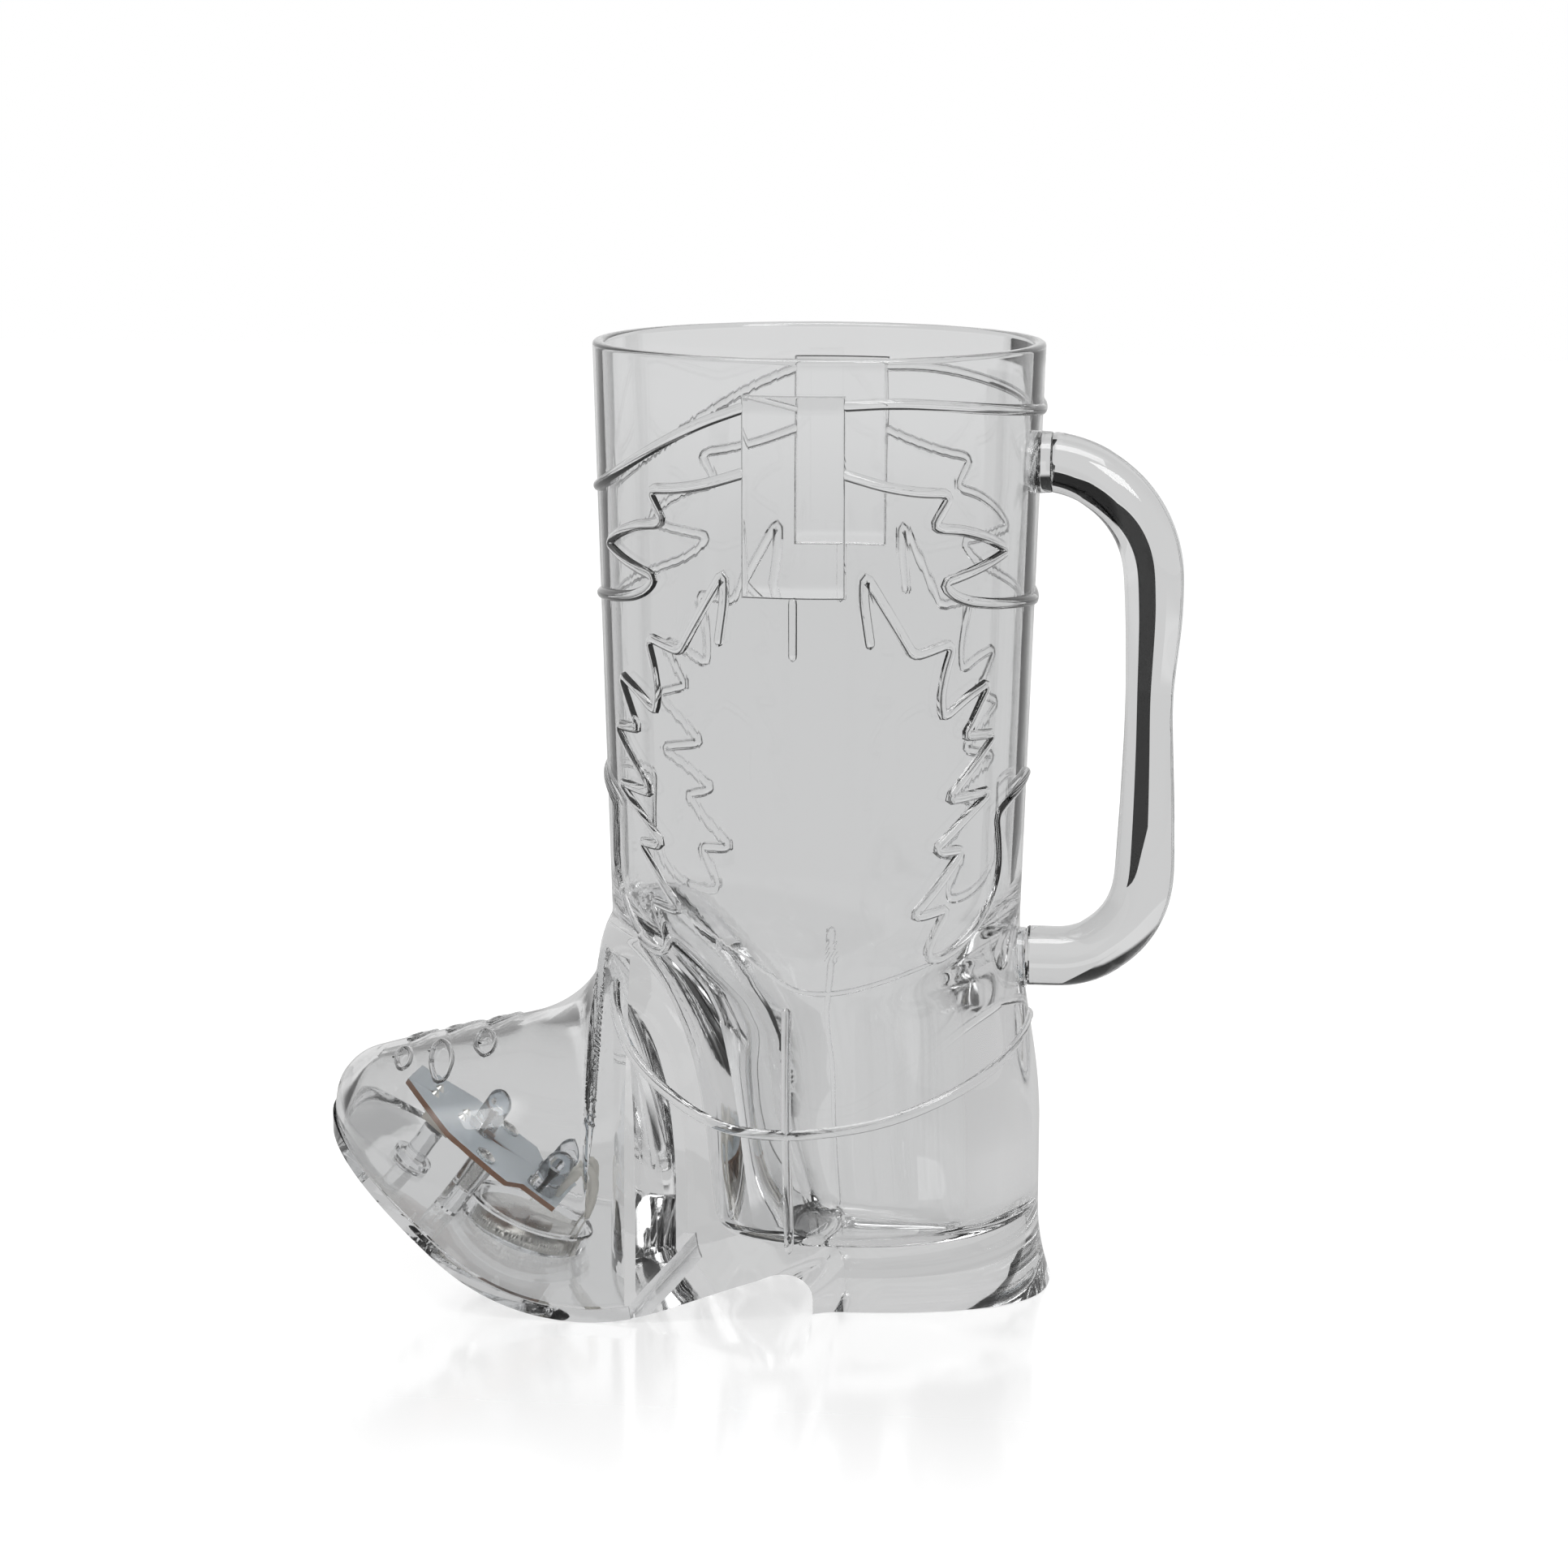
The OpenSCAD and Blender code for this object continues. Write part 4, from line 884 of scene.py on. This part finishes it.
cup_in = COVER_IN + COVER_T + SET_FIT + CELL_H + LEAF_GAP
cup_top = cup_in + CUP_ROOF
cup = [(CUP_R, PLATE_T / 2), (CUP_R, cup_top - CUP_ROUND), (CUP_R - CUP_ROUND, cup_top)]
cell_room = [(CELL_ROOM_R, CUP_CUT_LOW), (CELL_ROOM_R, cup_in)]
lug_way = [(LUG_WAY_R, LUG_WAY_LOW), (LUG_WAY_R, LUG_WAY_TOP)]
button_hole = [(BUTTON_HOLE_R, BUTTON_HOLE_LOW), (BUTTON_HOLE_R, BUTTON_HOLE_TOP)]
carve(plate, lathe("cup", cup, on_sole(CUP_A), cup_axis, 96), "UNION")
carve(plate, lathe("cell_room", cell_room, on_sole(CUP_A), cup_axis, 96))
carve(plate, lathe("lug_way", lug_way, on_sole(CUP_A), cup_axis, 96))
carve(plate, lathe("button_hole", button_hole, on_sole(TOE_SPRING, BUTTON_U), toe_axis, 48))
smooth(plate)
sole_clear = clear("sole_acrylic", (0.97, 0.975, 0.98), wave=40)
finish_piece(plate, "cup", "sole_plastic", sole_clear, "toe_sole")


# Battery cover: a clear acrylic disc with two lugs and a coin slot, moulded. It is turned with a coin, so
# that its lugs lock it in the mouth of the battery cup.
def from_cad(name, source):
    """A copy of a CAD node with its triangles joined into one mesh."""
    b = bmesh.new()
    b.from_mesh(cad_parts[source].data)
    bmesh.ops.remove_doubles(b, verts=b.verts, dist=2e-7)
    mesh = bpy.data.meshes.new(name)
    b.to_mesh(mesh)
    b.free()
    return placed(name, mesh)


def cad_piece(name, body, slot, paint, source, angle=30):
    """A finished piece that keeps the shape of a CAD node."""
    piece = from_cad(name, source)
    smooth(piece, angle)
    finish_piece(piece, body, slot, paint, source)
    return piece


cover_clear = clear("cover_acrylic", (0.93, 0.94, 0.95), wave=60)
cad_piece("battery_cover_disc", "cover", "cover_plastic", cover_clear, "battery_cover")

# Push button: a clear acrylic cap with a flange inside the sole and a stem up to the switch, all in one
# piece. It slides in the sole plate's hole, and the flange keeps it from falling out.
BUTTON_R, BUTTON_OUT, FLANGE_R, STEM_R = 3, 0.9, 3.9, 2.1
FLANGE_LOW, FLANGE_TOP, STEM_TOP = 2.45, 3.45, 9.25
CAP_ROUND, CAP_ROUND_MID, STEM_ROUND, STEM_ROUND_L = 0.3, 0.08, 0.1, 0.05
profile = [(BUTTON_R - CAP_ROUND, -BUTTON_OUT), (BUTTON_R - CAP_ROUND_MID, CAP_ROUND_MID - BUTTON_OUT),
           (BUTTON_R, CAP_ROUND - BUTTON_OUT), (BUTTON_R, FLANGE_LOW), (FLANGE_R, FLANGE_LOW),
           (FLANGE_R, FLANGE_TOP), (STEM_R, FLANGE_TOP), (STEM_R, STEM_TOP - STEM_ROUND_L),
           (STEM_R - STEM_ROUND, STEM_TOP)]
button = lathe("button_cap", profile, on_sole(TOE_SPRING, BUTTON_U), toe_axis)
smooth(button)
button_clear = clear("button_acrylic", (0.95, 0.955, 0.96), wave=60)
finish_piece(button, "button", "button_plastic", button_clear, "push_button")

# Circuit board: a thin brown laminate, tapered towards the toe and screwed to the bosses. Its top has a
# bluish white solder mask, and the laminate shows at the edges and below.
MASK, LAMINATE_DARK, LAMINATE_LIGHT = (0.84, 0.92, 0.98, 1), (0.2, 0.075, 0.025, 1), (0.33, 0.14, 0.05, 1)
LAMINATE_GRAIN, GRAIN_RANGE, MASK_ROUGH, MASK_EDGE = 400, (0.3, 0.7), (0.28, 0.42), (0.7, 0.9)
board_paint, tree, shader = principled("board_laminate", MASK[:3])
surface = node(tree, "ShaderNodeNewGeometry")
facing = node(tree, "ShaderNodeVectorMath", operation="DOT_PRODUCT")
facing.inputs[1].default_value = toe_axis
wire(tree, surface.outputs["Normal"], facing.inputs[0])
place = node(tree, "ShaderNodeTexCoord")
grain = node(tree, "ShaderNodeTexNoise")
grain.inputs["Scale"].default_value = LAMINATE_GRAIN
wire(tree, place.outputs["Object"], grain.inputs["Vector"])
laminate = node(tree, "ShaderNodeMix", data_type="RGBA")
laminate.inputs["A"].default_value = LAMINATE_DARK
laminate.inputs["B"].default_value = LAMINATE_LIGHT
wire(tree, grain.outputs["Fac"], laminate.inputs["Factor"])
colour = node(tree, "ShaderNodeMix", data_type="RGBA")
colour.inputs["B"].default_value = MASK
wire(tree, ramp(tree, facing.outputs["Value"], *MASK_EDGE, 0.0, 1.0), colour.inputs["Factor"])
wire(tree, laminate.outputs["Result"], colour.inputs["A"])
wire(tree, colour.outputs["Result"], shader.inputs["Base Color"])
wire(tree, ramp(tree, grain.outputs["Fac"], *GRAIN_RANGE, *MASK_ROUGH), shader.inputs["Roughness"])
board = cad_piece("lamp_board", "cup", "board_laminate", board_paint, "circuit_board")

# Screws: two small steel screws with a cross in the head, driven through the board into the bosses. Their
# fine grain is a shared effect, which the other small metal and nylon parts have with their own values.
GRAIN_STRENGTH, GRAIN_DEPTH = 0.1, 0.0001
fine_grain, group_in, group_out = node_group(
    "fine_grain", "ShaderNodeTree",
    [("Vector", "Vector"), ("Scale", "Float"), ("Smoothest", "Float"), ("Roughest", "Float")],
    [("Roughness", "Float"), ("Height", "Float")])
speckle = node(fine_grain, "ShaderNodeTexNoise")
between = node(fine_grain, "ShaderNodeMapRange")
wire(fine_grain, group_in.outputs["Vector"], speckle.inputs["Vector"])
wire(fine_grain, group_in.outputs["Scale"], speckle.inputs["Scale"])
wire(fine_grain, speckle.outputs["Fac"], between.inputs["Value"])
wire(fine_grain, group_in.outputs["Smoothest"], between.inputs["To Min"])
wire(fine_grain, group_in.outputs["Roughest"], between.inputs["To Max"])
wire(fine_grain, between.outputs["Result"], group_out.inputs["Roughness"])
wire(fine_grain, speckle.outputs["Fac"], group_out.inputs["Height"])


def grained(name, colour, scale, smoothest, roughest, **values):
    """A finish whose roughness and slight bump follow a grain of that scale."""
    mat, tree, shader = principled(name, colour, **values)
    follow(tree, shader, fine_grain, GRAIN_STRENGTH, GRAIN_DEPTH,
           Scale=scale, Smoothest=smoothest, Roughest=roughest)
    return mat


steel = grained("bright_steel", (0.92, 0.91, 0.89), scale=1500, smoothest=0.15, roughest=0.4, Metallic=1.0)
for label in ("near", "far"):
    cad_piece("board_screw_" + label, "cup", "screw_steel", steel, "screw_" + label)

# Lamps: three clear round-headed lenses, cast in epoxy round a small cup and post of tinned metal. Their
# leads go through the board and are soldered there.
lens_clear = clear("lens_epoxy", (0.97, 0.98, 1.0), wave=80, ior=1.53)
tin = grained("tinned_lead", (0.93, 0.92, 0.88), scale=1200, smoothest=0.18, roughest=0.42, Metallic=1.0)
for label in ("front", "near", "far"):
    cad_piece("lens_" + label, "cup", "lamp_lens", lens_clear, "lamp_" + label)
    cad_piece("leads_" + label, "cup", "lead_metal", tin, "lamp_" + label + "_leads")

# Switch: an ivory nylon box under the board, with a black nylon plunger that slides in it. The button's stem
# pushes the plunger.
ivory = grained("ivory_nylon", (0.72, 0.69, 0.6), scale=2500, smoothest=0.3, roughest=0.5)
black = grained("black_nylon", (0.012, 0.012, 0.013), scale=2500, smoothest=0.25, roughest=0.45)
cad_piece("switch_box", "cup", "switch_body", ivory, "tact_switch")
cad_piece("plunger_pin", "plunger", "plunger_plastic", black, "switch_plunger")

# Switch pins: four tinned pins that go up through the board. A small bright cone of solder stands round
# each of them on top of the board.
SOLDER_FOOT, SOLDER_TIP, SOLDER_H, SOLDER_SIDES = 0.0009, 0.0004, 0.0007, 24
toe_down = np.array([math.cos(TOE_SPRING), 0, -math.sin(TOE_SPRING)])
solder_joints, group_in, group_out = node_group(
    "solder_joints", "GeometryNodeTree",
    [("Places", "Geometry"), ("Foot", "Float"), ("Tip", "Float"), ("Height", "Float"), ("Tilt", "Vector"),
     ("Material", "Material")], [("Joints", "Geometry")])
cone = node(solder_joints, "GeometryNodeMeshCone")
cone.inputs["Vertices"].default_value = SOLDER_SIDES
spread = node(solder_joints, "GeometryNodeInstanceOnPoints")
real = node(solder_joints, "GeometryNodeRealizeInstances")
paint = node(solder_joints, "GeometryNodeSetMaterial")
for label, socket in (("Foot", "Radius Bottom"), ("Tip", "Radius Top"), ("Height", "Depth")):
    wire(solder_joints, group_in.outputs[label], cone.inputs[socket])
wire(solder_joints, group_in.outputs["Places"], spread.inputs["Points"])
wire(solder_joints, cone.outputs["Mesh"], spread.inputs["Instance"])
wire(solder_joints, group_in.outputs["Tilt"], spread.inputs["Rotation"])
wire(solder_joints, spread.outputs["Instances"], real.inputs["Geometry"])
wire(solder_joints, real.outputs["Geometry"], paint.inputs["Geometry"])
wire(solder_joints, group_in.outputs["Material"], paint.inputs["Material"])
wire(solder_joints, paint.outputs["Geometry"], group_out.inputs["Joints"])
pins = from_cad("switch_legs", "switch_pins")
spots = np.array([v.co for v in pins.data.vertices])
board_top = max(np.array([v.co for v in board.data.vertices]) @ toe_axis)
along, across = spots @ toe_down, spots[:, 1]
places = []
for u in (-1, 1):
    for v in (-1, 1):
        one_pin = (u * (along - along.mean()) > 0) & (v * (across - across.mean()) > 0)
        middle = spots[one_pin].mean(0)
        places.append(middle + (board_top - middle @ toe_axis) * toe_axis)
mesh = bpy.data.meshes.new("solder")
mesh.from_pydata([tuple(p) for p in places], [], [])
joints = placed("solder", mesh)
put_nodes(joints, solder_joints, Foot=SOLDER_FOOT, Tip=SOLDER_TIP, Height=SOLDER_H,
          Tilt=(0, TOE_SPRING, 0), Material=tin)
b = bmesh.new()
b.from_mesh(pins.data)
b.from_mesh(plain_mesh(joints))
b.to_mesh(pins.data)
b.free()
bpy.data.objects.remove(joints)
smooth(pins, 30)
finish_piece(pins, "cup", "lead_metal", tin, "switch_pins")

# Battery: a coin cell that lies in the battery cup, with a side contact and a spring leaf of nickelled
# strip. The contacts' tabs stand up through the cup's roof.
nickel = grained("nickel", (0.8, 0.78, 0.73), scale=900, smoothest=0.18, roughest=0.42, Metallic=1.0)
cad_piece("battery_cell", "cup", "cell_steel", nickel, "coin_cell")
cad_piece("side_contact", "cup", "contact_metal", nickel, "contact_plus")
cad_piece("leaf_contact", "cup", "contact_metal", nickel, "contact_minus")

# Wires: two short wires with ivory insulation that arch from the board to the tabs of the battery's
# contacts, and are soldered at both ends.
insulation = grained("wire_insulation", (0.97, 0.94, 0.86), scale=1500, smoothest=0.35, roughest=0.55)
for label in ("plus", "minus"):
    cad_piece("wire_" + label + "_lead", "cup", "wire_insulation", insulation, "wire_" + label, angle=60)
